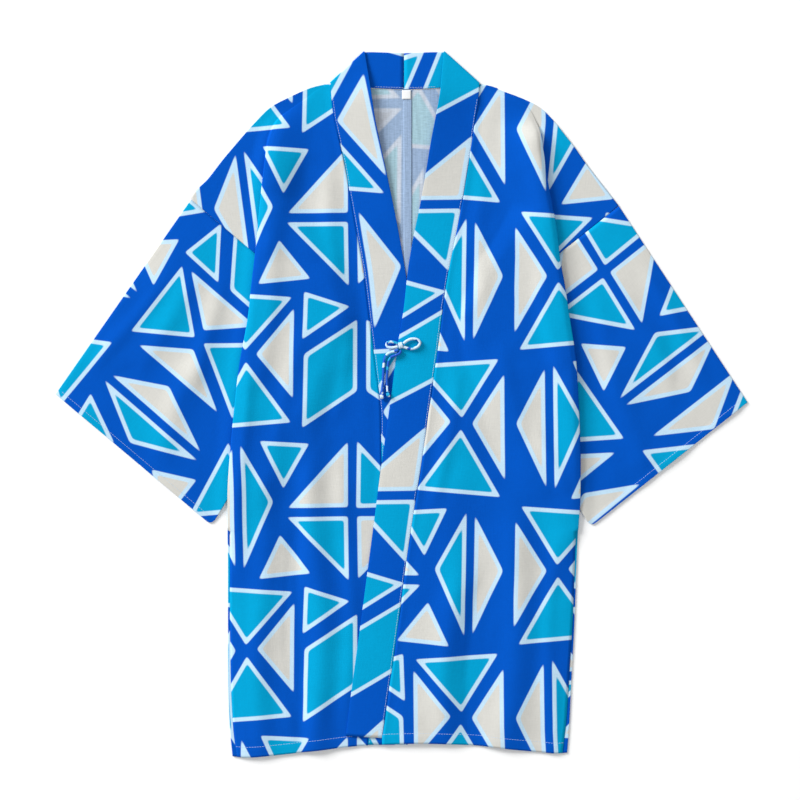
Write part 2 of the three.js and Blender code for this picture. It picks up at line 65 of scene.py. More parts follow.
RAMP_START = 5.0  # how far beyond the side fold that begins
STACK_MARGIN = 6.0  # how far inside the tuck's end the front is up on the stack
STACK_SLOPE = 46.0  # width over which it gets there
HELD_TOP_Y = 260.0  # from here down the right front's edge lies on the other half of the band
HELD_RUN = 70.0
HELD_WIDTH = 42.0
HELD_SLOPE = 40.0
HEM_DEPTH = 12.5  # turned up hem of the fronts
HEM_STEP = 0.35  # and how much it adds
HEM_STEP_WIDTH = 1.5
CUFF_DEPTH = 7.0  # turned in hem of the sleeves
CUFF_STEP = 0.3
CUFF_STEP_WIDTH = 1.2
EDGE_ROLL = 2.4  # how much fuller the visible side fold is than a flat crease
ROLL_RUN = 90.0  # height above the tuck's end over which it grows that full
STACK_RUN = 60.0  # height above the tuck's end over which its stack gets its full height
STACK_FADE = 70.0  # height below it over which the front comes down again
SIDE_FALL = 9.0  # width over which the front comes down to its side seam below the tuck
SEWN_RUN = 28.0  # height below the tuck's end over which that seam takes hold
SWELL_PEAK = 5.0  # how far inside the side fold its unpressed cloth stands highest
SWELL_INSIDE = 21.0  # how far it reaches towards the middle
SWELL_OUTSIDE = 6.5
FLOOR_LEVEL = CLOTH / 2
FRONT_LEVEL = FLOOR_LEVEL + PITCH


# ---------------------------------------------------------------- tables, in millimetres
def table(names, rows):
    return {name: np.array([row[k] for row in rows], float) for k, name in enumerate(names.split())}


BODY = {
    -1: table("y fold edge turn lap", [
        (390.0, 86.9, 91.0, 0.0, 0.4),
        (385.9, 93.0, 108.5, 0.0, 1),
        (382.9, 99.5, 116.5, 0.0, 1),
        (373.1, 112.5, 138.0, 0.0, 1),
        (362.1, 128.5, 158.5, 0.0, 1),
        (343.8, 150.5, 177.5, 0.1, 1),
        (320.7, 160.0, 198.0, 0.3, 1),
        (297.6, 164.0, 217.5, 0.55, 1),
        (275.6, 167.0, 234.5, 0.8, 1),
        (249.4, 170.0, 256.35, 1.0, 2),
        (230.0, 172.0, 233.4, 1.0, 20),
        (205.0, 174.0, 203.8, 1.0, 41),
        (178.0, 177.0, 171.85, 1.0, 63),
        (144.1, 181.0, 131.7, 1.0, 86),
        (107.5, 185.0, 88.4, 1.0, 103),
        (48.0, 195.5, 105.5, 1.0, 90),
        (-7.0, 202.0, 133.0, 1.0, 69),
        (-62.0, 207.0, 160.0, 1.0, 47),
        (-113.0, 210.5, 185.5, 1.0, 25),
        (-153.0, 211.0, 208.0, 1.0, 3.0),
        (-160.0, 211.0, 209.0, 1.0, 2.0),
        (-195.7, 210.5, 209.0, 1.0, 1.5),
        (-262.7, 210.5, 209.0, 1.0, 1.5),
        (-335.8, 210.0, 207.6, 1.0, 2.4),
        (-384.5, 208.0, 204.7, 1.0, 3.3),
        (-415.0, 205.0, 200.5, 1.0, 4.5),
    ]),
    1: table("y fold edge turn lap", [
        (389.4, 95.2, 99.4, 0.0, 0.4),
        (385.9, 102.0, 114.5, 0.0, 1),
        (382.9, 107.5, 119.5, 0.0, 1),
        (373.1, 136.0, 145.5, 0.0, 1),
        (362.1, 152.0, 167.5, 0.0, 1),
        (343.8, 162.0, 186.5, 0.04, 1),
        (328.0, 167.5, 199.0, 0.4, 1),
        (312.0, 170.0, 211.5, 0.8, 1),
        (297.6, 172.5, 221.5, 0.95, 1),
        (275.6, 175.5, 238.0, 1.0, 1),
        (241.5, 182.0, 264.8, 1.0, 2),
        (225.0, 185.0, 244.1, 1.0, 18),
        (205.0, 188.0, 219.0, 1.0, 37),
        (178.0, 191.0, 185.05, 1.0, 62),
        (144.1, 197.0, 142.5, 1.0, 88),
        (107.5, 202.5, 96.5, 1.0, 113),
        (48.0, 211.0, 111.0, 1.0, 100),
        (-7.0, 214.0, 138.0, 1.0, 76),
        (-62.0, 216.0, 165.0, 1.0, 51),
        (-113.0, 216.5, 190.5, 1.0, 26),
        (-153.0, 214.5, 211.5, 1.0, 3.0),
        (-160.0, 214.0, 212.0, 1.0, 2.0),
        (-195.7, 212.5, 211.0, 1.0, 1.5),
        (-262.7, 210.0, 208.4, 1.0, 1.6),
        (-335.8, 206.0, 203.6, 1.0, 2.4),
        (-384.5, 203.5, 200.1, 1.0, 3.4),
        (-415.0, 201.0, 196.0, 1.0, 5.0),
    ]),
}
# Height of the unpressed cloth along the side folds
SWELL = {
    -1: table("y height", [
        (385, 0.0), (350, 0.8), (320, 1.8), (260, 2.2), (170, 2.4), (60, 2.0), (-60, 1.6),
        (-130, 0.9), (-180, 0.5), (-300, 0.7), (-415, 0.3),
    ]),
    1: table("y height", [
        (385, 0.0), (366, 0.2), (350, 1.4), (332, 4.4), (310, 5.8), (270, 5.6), (220, 5.0),
        (160, 4.2), (90, 4.2), (20, 4.6), (-60, 3.4), (-130, 1.7), (-180, 0.6), (-300, 0.9),
        (-415, 0.3),
    ]),
}
NECK_CORNER = {-1: 74.0, 1: 82.0}  # where the neck seam meets each shoulder, from x = 0
ARMHOLE_END_Y = 107.5  # lowest row that still has a shoulder part beyond the tuck
TUCK_END_Y = -153.0  # lowest row where the front is tucked under at its side
HALF_TURN_RISE = 0.6  # how much higher the front lies where the fold is only half turned
SHOULDER_CALM_WIDTH = 25.0  # width over which the shoulder part's creases begin

HEM = table("x y", [
    (-213, -427.5), (-190, -430.0), (-153, -427.2), (-104, -421.7), (-46, -415.5),
    (22, -413.0), (87, -415.0), (120, -418.6), (169, -423.5), (188, -425.0), (213, -423.0),
])

# Both edges of the band's front part, and whether it lies on the other half of the band
BAND_FRONT = {
    -1: table("seam_x seam_y free_x free_y over", [
        (-85.0, 372.0, -37.5, 385.0, 0.9),
        (-82.2, 351.0, -32.5, 350.0, 0.4),
        (-74.9, 318.0, -26.2, 319.0, 0),
        (-67.6, 283.0, -18.3, 283.0, 0),
        (-53.6, 205.0, -2.4, 204.0, 0),
        (-45.7, 161.0, 4.9, 161.0, 0),
        (-39.6, 112.4, 11.6, 112.4, 0),
        (-32.3, 54.0, 18.9, 54.0, 0),
        (-25.0, -9.4, 23.8, -9.4, 0),
        (-23.8, -116.6, 24.4, -116.6, 0),
        (-29.8, -238.4, 18.9, -238.4, 0),
        (-35.9, -335.8, 11.6, -335.8, 0),
        (-40.8, -414.5, 7.3, -414.5, 0),
    ]),
    1: table("seam_x seam_y free_x free_y over", [
        (93.5, 371.0, 47.5, 385.0, 0.9),
        (90.3, 351.0, 42.0, 352.0, 0.4),
        (85.9, 320.7, 35.9, 320.7, 0),
        (79.8, 283.0, 29.8, 283.0, 0),
        (74.3, 248.8, 23.8, 248.8, 0.1),
        (65.2, 201.0, 14.0, 200.5, 0.7),
        (57.9, 166.0, 8.2, 166.0, 1),
        (50.6, 120.9, 3.0, 118.5, 1),
        (43.8, 66.1, -5.5, 65.0, 1),
        (37.1, 19.9, -11.0, 21.5, 1),
        (24.4, -70.3, -23.8, -70.3, 1),
        (8.5, -171.4, -37.1, -171.4, 1),
        (-3.5, -262.5, -49.3, -264.0, 1),
        (-16.4, -354.1, -61.5, -354.1, 1),
        (-23.8, -406.0, -67.6, -403.5, 1),
    ]),
}
# Both edges of the band behind the neck, from the centre joint to the turn
BAND_NECK = {
    -1: table("seam_x seam_y free_x free_y", [
        (2.85, 383.8, 2.85, 427.3),
        (-26.0, 384.8, -22.0, 428.2),
        (-58.0, 387.4, -35.0, 428.6),
        (-86.0, 390.2, -44.6, 428.4),
    ]),
    1: table("seam_x seam_y free_x free_y", [
        (3.15, 383.8, 3.15, 427.3),
        (30.0, 384.5, 27.0, 428.2),
        (66.0, 387.0, 41.5, 428.6),
        (94.4, 389.6, 51.2, 428.4),
    ]),
}

SLEEVE = {
    -1: {"shoulder": (-256.4, 249.4), "underarm": (-79.8, 100.2),
         "cuff_top": (-421.4, 12.6), "cuff_end": (-230.8, -147.6)},
    1: {"shoulder": (264.9, 241.5), "underarm": (85.9, 99.0),
        "cuff_top": (421.6, 2.6), "cuff_end": (229.8, -149.6)},
}
CUFF_ROUND = 7.0  # radius of the corner where the cuff meets the underarm seam

DEPTH_OF_CREASES = 1.35
CREASE_WANDER = 5.0
CREASE_WAVE = 47.0
SEWN_CALM = 0.9  # share of the creases and waves that dies out at the sewn side of a front
FOLD_CALM = 0.54  # and at its side fold
CALM_WIDTH = 14.0
BAND_CALM_WIDTH = 22.0  # width beside the band over which they begin
# Soft folds and creases: a ridge (or, below zero, a trough) along a line, fading at both ends
CREASES = "x1 y1 x2 y2 width height"
FRONT_CREASES = {
    -1: table(CREASES, [
        (-112, 60, -98, -425, 26, 3.6),
        (-168, -40, -172, -425, 24, 2.6),
        (-132, -60, -126, -425, 13, -1.6),
        (-70, 10, -62, -400, 15, 1.4),
        (-190, 120, -196, -180, 12, 1.2),
        (-150, 210, -176, 20, 18, 1.6),
        (-118, 330, -160, 180, 22, 1.6),
        (-96, 300, -72, 150, 15, 1.0),
        (-120, 120, -150, -60, 14, 0.9),
        (-60, 120, -84, -20, 12, 0.8),
    ]),
    1: table(CREASES, [
        (70, -150, 52, -420, 26, 3.4),
        (150, -60, 128, -425, 28, 3.0),
        (96, -180, 88, -425, 14, -1.4),
        (188, -120, 180, -425, 14, 1.4),
        (120, 330, 168, 190, 22, 1.6),
        (168, 190, 190, 40, 16, 1.5),
        (102, 280, 96, 120, 16, 1.0),
        (66, 60, 46, -120, 13, 1.3),
        (120, 90, 150, -40, 16, 1.0),
        (160, -20, 196, -110, 12, 1.2),
    ]),
}
SLEEVE_CREASES = {
    -1: table(CREASES, [
        (-196, 200, -250, 20, 20, 2.2),
        (-236, 176, -330, 40, 18, 1.6),
        (-205, 120, -222, -90, 15, 2.0),
        (-268, 190, -372, 40, 13, 1.2),
        (-250, 60, -290, -70, 22, 1.6),
        (-300, 90, -350, 10, 14, -0.8),
    ]),
    1: table(CREASES, [
        (206, 196, 262, 10, 20, 2.2),
        (240, 172, 330, 30, 18, 1.6),
        (214, 110, 232, -90, 15, 2.0),
        (276, 184, 376, 28, 13, 1.2),
        (262, 50, 300, -80, 22, 1.6),
        (310, 84, 352, 0, 14, -0.8),
    ]),
}
# Gentle waves of each kind of piece: their size and height, and a seed
WAVES = {
    "front": [(70, 1.3, 3.0), (26, 0.45, 7.0)],
    "sleeve": [(60, 1.1, 11.0), (24, 0.45, 17.0)],
    "band": [(34, 0.5, 23.0)],
}


# ---------------------------------------------------------------- shape helpers
def mix(a, b, t):
    return a + (b - a) * t


def smooth(t):
    t = np.clip(t, 0.0, 1.0)
    return t * t * (3 - 2 * t)


def steady(xs, ys, x):
    """Smooth curve through points that never overshoots between them."""
    order = np.argsort(xs)
    xs, ys = np.asarray(xs, float)[order], np.asarray(ys, float)[order]
    step, slope = np.diff(xs), np.diff(ys) / np.diff(xs)
    tangent = np.zeros(len(xs))
    tangent[0], tangent[-1] = slope[0], slope[-1]
    same = slope[:-1] * slope[1:] > 0
    a, b = 2 * step[1:] + step[:-1], step[1:] + 2 * step[:-1]
    inner = np.zeros(len(xs) - 2)
    inner[same] = (a + b)[same] / (a[same] / slope[:-1][same] + b[same] / slope[1:][same])
    tangent[1:-1] = inner
    x = np.clip(x, xs[0], xs[-1])
    k = np.clip(np.searchsorted(xs, x) - 1, 0, len(step) - 1)
    t = (x - xs[k]) / step[k]
    rise = ys[k] * (2 * t**3 - 3 * t**2 + 1) + ys[k + 1] * (3 * t**2 - 2 * t**3)
    return rise + step[k] * (tangent[k] * (t**3 - 2 * t**2 + t) + tangent[k + 1] * (t**3 - t**2))


def run_along(points):
    """Distance along a line of points, at each of them."""
    return np.concatenate([[0], np.cumsum(np.linalg.norm(np.diff(points, axis=0), axis=1))])


def body_row(side, y):
    """The body's side fold, outer edge, turn and lap at a height y, and how many layers of front
    and back lie between the two outer ones beside it: tuck and shoulder part, tuck, or a lip."""
    body = BODY[side]
    row = {name: float(steady(body["y"], body[name], y)) for name in ("fold", "edge", "turn")}
    row["lap"] = float(np.interp(-y, -body["y"], body["lap"]))
    row["y"] = y
    row["layers"] = 3 if y >= ARMHOLE_END_Y else 2 if y >= TUCK_END_Y else 1
    if row["layers"] == 3 and row["turn"] >= 1:
        row["edge"] = float(np.interp(-y, -body["y"], body["edge"]))
    return row


def band_seam(side, y):
    """Distance from x = 0 of the seam between front and band."""
    front, neck = BAND_FRONT[side], BAND_NECK[side]
    ys = np.append(front["seam_y"], neck["seam_y"][-1])
    return float(steady(ys, side * np.append(front["seam_x"], neck["seam_x"][-1]), y))


def crease_height(creases, x, y):
    """Height of all the creases of a table at x, y. Each wanders a little to both sides."""
    height = np.zeros(np.shape(x))
    for x1, y1, x2, y2, width, tall in zip(*creases.values()):
        run = np.hypot(x2 - x1, y2 - y1)
        along = ((x - x1) * (x2 - x1) + (y - y1) * (y2 - y1)) / run
        wander = CREASE_WANDER * np.sin(along / CREASE_WAVE + width)
        beside = (((x - x1) * (y2 - y1) - (y - y1) * (x2 - x1)) / run + wander) / width
        fade = smooth(along / (0.35 * run)) * smooth((run - along) / (0.2 * run) + 0.35)
        height += DEPTH_OF_CREASES * tall * fade * np.exp(-beside * beside * 2.2)
    return height


def unevenness(kind, side, x, y):
    """Height of the gentle waves of a piece at x, y, the same in every run."""
    places = list(zip(x, np.broadcast_to(y, np.shape(x))))
    height = np.zeros(len(places))
    for size, amount, seed in WAVES[kind]:
        at = [Vector((a / size, b / size, seed + side)) for a, b in places]
        height += amount * np.array([noise.noise(place) for place in at])
    return height


def hem_y(x, y):
    """Where a point of a straight row lies, as the rows bend to the curve of the hem."""
    ease = smooth((HEM_EASE_Y - y) / (HEM_EASE_Y - HEM_ROW_Y))
    return y + ease * (steady(HEM["x"], HEM["y"], x) - HEM_ROW_Y)


# ---------------------------------------------------------------- cloth meshes
def new_piece(name, vertices, faces, uvs, materials, kinds=None):
    """A mesh from vertices in millimetres, with the place on the cut cloth as UV, in metres."""
    mesh = bpy.data.meshes.new(name)
    mesh.from_pydata([tuple(v * MM) for v in vertices], [], faces)
    for material in materials:
        mesh.materials.append(material)
    if kinds is not None:
        mesh.polygons.foreach_set("material_index", kinds)
    if uvs is not None:
        corners = np.zeros(len(mesh.loops), int)
        mesh.loops.foreach_get("vertex_index", corners)
        layer = mesh.uv_layers.new(name="cut")
        layer.data.foreach_set("uv", (np.asarray(uvs)[corners] * MM).ravel())
    mesh.polygons.foreach_set("use_smooth", [True] * len(mesh.polygons))
    mesh.update()
    piece = bpy.data.objects.new(name, mesh)
    bpy.context.scene.collection.objects.link(piece)
    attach(piece, "root")
    return piece


def cloth(name, rows, uvs, thickness, right_side, wrong_side, wrap=False):
    """Two sides and rims around rows of middle points. Shorter rows are where the cloth is cut."""
    starts = np.cumsum([0] + [len(row) for row in rows])
    count = int(starts[-1])
    points = np.concatenate(rows)
    normals = np.zeros((count, 3))
    for i, row in enumerate(rows):
        ahead = np.roll(row, -1, 0) if wrap else np.vstack([row[1:], row[-1:]])
        behind = np.roll(row, 1, 0) if wrap else np.vstack([row[:1], row[:-1]])
        below = rows[i + 1] if i + 1 < len(rows) else row
        above = rows[i - 1] if i else row
        down = np.array([(below[j] if j < len(below) else row[j]) - (above[j] if j < len(above) else row[j])
                         for j in range(len(row))])
        normal = np.cross(ahead - behind, down)
        normals[starts[i]:starts[i + 1]] = normal / np.linalg.norm(normal, axis=1)[:, None]
    if wrap:
        away = np.concatenate([row - row.mean(0) for row in rows])
        outwards = np.sum(normals * away)
    else:
        outwards = np.sum(normals[:, 2])
    if outwards < 0:
        normals = -normals
    vertices = np.vstack([points + normals * thickness / 2, points - normals * thickness / 2])
    cells = []
    for i in range(len(rows) - 1):
        both = min(len(rows[i]), len(rows[i + 1]))
        for j in range(both if wrap else both - 1):
            nxt = (j + 1) % len(rows[i])
            cells.append((starts[i] + j, starts[i] + nxt, starts[i + 1] + nxt, starts[i + 1] + j))
    edges = {(cell[k], cell[(k + 1) % 4]) for cell in cells for k in range(4)}
    a, b, c, _ = (points[k] for k in cells[0])
    upright = np.dot(np.cross(b - a, c - a), normals[cells[0][0]]) > 0
    faces, kinds = [], []
    for cell in cells:
        faces += [cell, tuple(k + count for k in reversed(cell))]
        kinds += [0, 1]
        for k in range(4):
            p, q = cell[k], cell[(k + 1) % 4]
            if (q, p) not in edges:
                faces.append((q, p, p + count, q + count))
                kinds.append(0)
    if not upright:
        faces = [tuple(reversed(face)) for face in faces]
    flat = np.concatenate(uvs)
    return new_piece(name, vertices, faces, np.vstack([flat, flat]), [right_side, wrong_side], kinds)


FRONT_COLUMNS = 56
BACK_COLUMNS = 40
FOLD_COLUMNS = 6  # round each turn of the side fold
LAP_COLUMNS = 22  # along the tuck, whatever its depth, so that rows match
SHOULDER_COLUMNS = 34
SHOULDER_TOP_Y = 343.0
SHOULDER_DRIFT = 0.12  # how much further along the cloth the shoulder part is, for each mm below it


def fold_steps(row, double, roll=1.0):
    """Headings and lengths of cloth that turns under, runs back, and turns out again if double."""
    turn = row["turn"] * math.pi
    shares = [(k + 0.5) / FOLD_COLUMNS for k in range(FOLD_COLUMNS)]
    unit = PITCH / sum(math.sin(share * math.pi) for share in shares)
    out = [(share * turn, unit * roll) for share in shares]
    out += [(turn, row["lap"] / LAP_COLUMNS)] * LAP_COLUMNS
    if double:
        out += [(share * turn, unit) for share in reversed(shares)]
    return out


def fold_rise(row):
    """How far up the cloth comes by turning under and out again."""
    return sum(length * math.sin(heading) for heading, length in fold_steps(row, True))


def folded(row, out, z, direction, roll=1.0):
    """Middle line of the cloth beyond the side fold, which turns up or down at first."""
    outs, heights = [], []
    for heading, length in fold_steps(row, row["layers"] == 3, roll):
        out += length * math.cos(heading)
        z += direction * length * math.sin(heading)
        outs.append(out)
        heights.append(z)
    return outs, heights


def cut_size(rows, wrap=False):
    """Width, length and area of the flat cut, from the middle of the cloth as it lies."""
    if wrap:
        rows = [np.vstack([row, row[:1]]) for row in rows]
    area = 0.0
    for upper, lower in zip(rows, rows[1:]):
        last = min(len(upper), len(lower)) - 1
        a, b, c, d = upper[:last], upper[1:last + 1], lower[1:last + 1], lower[:last]
        area += np.sum(np.linalg.norm(np.cross(c - a, d - b), axis=1)) / 2
    width = max(run_along(row)[-1] for row in rows)
    length = run_along([row[0] for row in rows])[-1]
    return width, max(length, area / width), area


def shoulder_part(row, start, rise):
    """Places across the shoulder part, from under the body out to the armhole seam, and how far up
    it is at each, coming down from the layers under the side fold."""
    outs = mix(start, row["edge"] - SEAM_GAP, np.arange(1, SHOULDER_COLUMNS + 1) / SHOULDER_COLUMNS)
    return outs, rise * (1 - smooth((outs - row["fold"] - RAMP_START) / RAMP))


def cloth_row(side, y, outs, heights):
    x = side * np.array(outs)
    return np.column_stack([x, hem_y(x, y), heights])


def piece_name(kind, side):
    return kind + ("_left" if side < 0 else "_right") + "_cotton"


def cut_places(rows, y_at):
    """Distance along each row and height, which is where the point was on the flat cloth."""
    uvs = []
    for row, y in zip(rows, y_at):
        along = abs(row[0, 0]) * math.copysign(1, row[0, 0] * row[-1, 0]) + run_along(row[:, ::2])
        if y >= ARMHOLE_END_Y:
            drift = SHOULDER_DRIFT * max(SHOULDER_TOP_Y - y, 0)
            along[-SHOULDER_COLUMNS:] = abs(row[-SHOULDER_COLUMNS:, 0]) + drift
        uvs.append(np.column_stack([along, row[:, 1]]))
    return uvs


BODY_YS = np.concatenate([
    np.linspace(389.4, 382.9, 4), np.linspace(380, 250, 34), np.linspace(246, ARMHOLE_END_Y, 34),
    np.linspace(ARMHOLE_END_Y - 2, TUCK_END_Y, 54), np.linspace(TUCK_END_Y - 2, -384, 48),
    np.linspace(-387, HEM_ROW_Y, 12),
])


def front_lift(row, y, roll):
    """How far the layers under a front hold it up at its side."""
    if row["layers"] == 1:
        return 2 * PITCH * (1 - smooth((TUCK_END_Y - y) / STACK_FADE))
    layers = mix(2, 4, smooth((y - TUCK_END_Y) / STACK_RUN))
    return (2 * fold_rise(row) if row["layers"] == 3 else PITCH * layers) + (roll - 1) * PITCH


def front_relief(side, y, outs, seam, edge, sewn):
    """Creases, waves and the unpressed cloth along the side fold. They lie flat where it is sewn."""
    x = side * outs
    relief = crease_height(FRONT_CREASES[side], x, y)
    relief += unevenness("front", side, x, y)
    relief = np.maximum(relief + 0.8, 0) * smooth((outs - seam) / BAND_CALM_WIDTH)
    relief *= 1 - mix(FOLD_CALM, SEWN_CALM, sewn) * smooth((outs - edge + CALM_WIDTH) / CALM_WIDTH)
    swell = outs - edge + SWELL_PEAK
    swell /= np.where(swell < 0, SWELL_INSIDE, SWELL_OUTSIDE)
    return relief + float(steady(SWELL[side]["y"], SWELL[side]["height"], y)) * np.exp(-swell * swell)


def front_body(side, y, row, roll, ground):
    """The visible front from the band's seam to its side: places and heights."""
    seam = band_seam(side, y) + SEAM_GAP
    stack = row["fold"] - row["lap"]
    edge = stack - 2 * SEAM_GAP if row["layers"] == 1 else row["fold"]
    outs = mix(seam, edge, np.linspace(0, 1, FRONT_COLUMNS))
    level = max(stack - STACK_MARGIN, mix(seam, stack, 0.55))
    low = max(level - STACK_SLOPE, mix(seam, level, 0.25))
    sewn = float(smooth((TUCK_END_Y - y) / SEWN_RUN))
    up = front_lift(row, y, roll) * smooth((outs - low) / (level - low))
    up *= 1 - sewn * smooth((outs - edge + SIDE_FALL) / SIDE_FALL)
    held = (BAND + 0.3) * smooth((HELD_TOP_Y - y) / HELD_RUN) if side > 0 else 0
    beside = held * (1 - smooth((outs - seam - HELD_WIDTH) / HELD_SLOPE))
    beside += SEAM_LIFT * (1 - smooth((outs - seam) / SEAM_LIFT_WIDTH))
    above_hem = hem_y(side * outs, y) - steady(HEM["x"], HEM["y"], side * outs)
    hem = HEM_STEP * smooth((HEM_DEPTH - above_hem) / HEM_STEP_WIDTH)
    return outs, ground + np.maximum(up, beside) + front_relief(side, y, outs, seam, edge, sewn) + hem


def front_panel(side, right_side, wrong_side):
    rows = []
    for y in BODY_YS:
        row = body_row(side, y)
        roll = 1 + EDGE_ROLL * row["turn"] * smooth((y - TUCK_END_Y) / ROLL_RUN)
        ground = FRONT_LEVEL + HALF_TURN_RISE * 4 * row["turn"] * (1 - row["turn"])
        outs, heights = (list(values) for values in front_body(side, y, row, roll, ground))
        if row["layers"] > 1:
            tuck_outs, tuck_heights = folded(row, outs[-1], heights[-1], -1, roll)
            if row["layers"] == 3:
                rise = fold_rise(row)
                shift = (ground + rise - tuck_heights[-1]) / len(tuck_heights)
                tuck_heights = [z + shift * (k + 1) for k, z in enumerate(tuck_heights)]
                beyond, up = shoulder_part(row, tuck_outs[-1], rise)
                creases = crease_height(SLEEVE_CREASES[side], side * beyond, y)
                creases *= smooth((beyond - row["fold"] - RAMP - RAMP_START) / SHOULDER_CALM_WIDTH)
                if row["turn"] >= 1:
                    creases *= smooth((row["edge"] - beyond) / CALM_WIDTH)
                tuck_outs += list(beyond)
                tuck_heights += list(ground + up + np.maximum(creases, 0))
            outs += tuck_outs
            heights += tuck_heights
        rows.append(cloth_row(side, y, outs, heights))
    uvs = [uv + PRINT_PLACE["front", side] for uv in cut_places(rows, BODY_YS)]
    return cloth(piece_name("front", side), rows, uvs, CLOTH, right_side, wrong_side), cut_size(rows)


# Columns of the back beside its centre seam: how far from the seam, and from the allowances' end
SEAM_COLUMNS = (0.0, 0.5, 4.0, 8.0)
STEP_COLUMNS = (-1.5, -1.1, -0.7, -0.4, 0.0, 0.5)


def back_panel(side, right_side, wrong_side):
    rows = []
    for y in BODY_YS:
        row = body_row(side, y)
        inner = NECK_CORNER[side] + y - NECK_Y if y > NECK_Y else side * CENTRE_BACK + SEAM_GAP
        near = inner + np.append(SEAM_COLUMNS, CENTRE_ALLOWANCE + np.array(STEP_COLUMNS))
        outs = list(np.append(near, mix(near[-1], row["fold"], np.linspace(0, 1, BACK_COLUMNS)[1:])))
        step = CENTRE_STEP * (side < 0) * smooth((NECK_Y - y + 4) / 4)
        heights = list(FLOOR_LEVEL + step * smooth((inner + CENTRE_ALLOWANCE - np.array(outs)) / 1.5))
        tuck_outs, tuck_heights = folded(row, outs[-1], FLOOR_LEVEL, 1)
        if row["layers"] == 3:
            beyond, up = shoulder_part(row, tuck_outs[-1], fold_rise(row))
            tuck_outs += list(beyond)
            tuck_heights += list(FLOOR_LEVEL + up)
        rows.append(cloth_row(side, y, outs + tuck_outs, heights + tuck_heights))
    uvs = [uv + PRINT_PLACE["back", side] for uv in cut_places(rows, BODY_YS)]
    return cloth(piece_name("back", side), rows, uvs, CLOTH, wrong_side, right_side), cut_size(rows)


SLEEVE_ROWS = 63
SLEEVE_COLUMNS = 52
CORNER_COLUMNS = 8
LAST_COLUMN = 0.996  # share of the sleeve's depth; the turns at its two edges are beyond
CORNER_RUN = 0.9  # share of its length after which the rows bend to the rounded corner
CUFF_ROWS = (CUFF_DEPTH + 0.2, CUFF_DEPTH - 1.2, 3.5, 1.2, 0.4, 0.0)  # distances from the cuff
TURN_COLUMNS = 5
TURN_LENGTH = 1.3
UNDERSIDE_PRINT = (40.0, 60.0)  # how far the print under the sleeve is from the one on top


def sleeve_columns(depth):
    """Shares of the sleeve's depth, and how far the cuff's rounded corner cuts each column short."""
    corner_start = LAST_COLUMN - CUFF_ROUND / depth
    bends = np.arange(1, CORNER_COLUMNS + 1) * math.pi / 2 / CORNER_COLUMNS
    straight = np.linspace(1 - LAST_COLUMN, corner_start, SLEEVE_COLUMNS)
    widths = np.append(straight, corner_start + CUFF_ROUND / depth * np.sin(bends))
    return widths, np.append(np.zeros(SLEEVE_COLUMNS), CUFF_ROUND * (1 - np.cos(bends)))


def edge_turn(place, out):
    """Half a turn of the cloth, from the sleeve's lower layer at its edge up to the other one."""
    angles = np.arange(1, TURN_COLUMNS + 1) * math.pi / (TURN_COLUMNS + 1)
    points = place + np.outer(np.sin(angles), out)
    points[:, 2] = place[2] + PITCH / 2 * (1 - np.cos(angles))
    return points


def sleeve(side, right_side, wrong_side):
    corner = {name: np.array(place) for name, place in SLEEVE[side].items()}
    length = np.linalg.norm(corner["cuff_top"] - corner["shoulder"])
    depth = np.linalg.norm(corner["cuff_end"] - corner["cuff_top"])
    widths, offs = sleeve_columns(depth)
    at_armhole = mix(corner["shoulder"], corner["underarm"], widths[:, None])
    at_cuff = mix(corner["cuff_top"], corner["cuff_end"], widths[:, None])
    near_edge = smooth(widths / 0.07) * smooth((1 - widths) / 0.07)
    cuff_rows = length - np.array(CUFF_ROWS)
    stations = np.append(np.linspace(SEAM_GAP, cuff_rows[0] - 4, SLEEVE_ROWS), cuff_rows) / length
    rings, uvs = [], []
    for t in stations:
        along = t - offs / length * smooth((t - CORNER_RUN) / (1 - CORNER_RUN))
        x, y = mix(at_armhole, at_cuff, along[:, None]).T
        beyond = side * x - np.interp(-y, -BODY[side]["y"], BODY[side]["fold"])
        low = FLOOR_LEVEL + 2 * PITCH * (1 - smooth((beyond - RAMP_START) / RAMP))
        wave = crease_height(SLEEVE_CREASES[side], x, y) + 0.6
        wave += unevenness("sleeve", side, x, y)
        calm = smooth((beyond - 24) / 30) * near_edge * smooth(along * length / 10)
        hem = CUFF_STEP * smooth(((t - 1) * length + CUFF_DEPTH) / CUFF_STEP_WIDTH) * near_edge
        lower = np.column_stack([x, y, low])
        upper = np.column_stack([x, y, low + PITCH + np.maximum(wave, 0) * calm + hem])
        down = mix(corner["underarm"] - corner["shoulder"], corner["cuff_end"] - corner["cuff_top"], t)
        down = np.append(down, 0) * PITCH / 2 / np.linalg.norm(down)
        under_edge, top_edge = edge_turn(lower[-1], down), edge_turn(lower[0], -down)
        rings.append(np.vstack([lower, under_edge, upper[::-1], top_edge[::-1]]))
        cut = np.column_stack([along * length, -widths * depth])
        on_turn = np.outer(np.arange(TURN_COLUMNS) / TURN_COLUMNS, (0, TURN_LENGTH))
        places = [cut * (1, -1) + UNDERSIDE_PRINT, cut[-1] - on_turn, cut[::-1], cut[0] + on_turn]
        uvs.append(np.vstack(places) + PRINT_PLACE["sleeve", side])
    piece = cloth(piece_name("sleeve", side), rings, uvs, CLOTH, right_side, wrong_side, wrap=True)
    return piece, cut_size(rings, wrap=True)


NECK_ROWS = 16
TURN_ROWS = 8
BAND_ROWS = 190
BAND_EDGES = ("seam_x", "seam_y", "free_x", "free_y")
ACROSS_BAND = np.concatenate([[0, 0.012, 0.04], np.linspace(0.09, 0.91, 11), [0.96, 0.988, 1]])


def band_level(over):
    """Middle height of the band: on the back panel, or over 0 to 1 on the other half of the band."""
    return CLOTH + 0.3 + BAND / 2 + over * (BAND + 0.35)


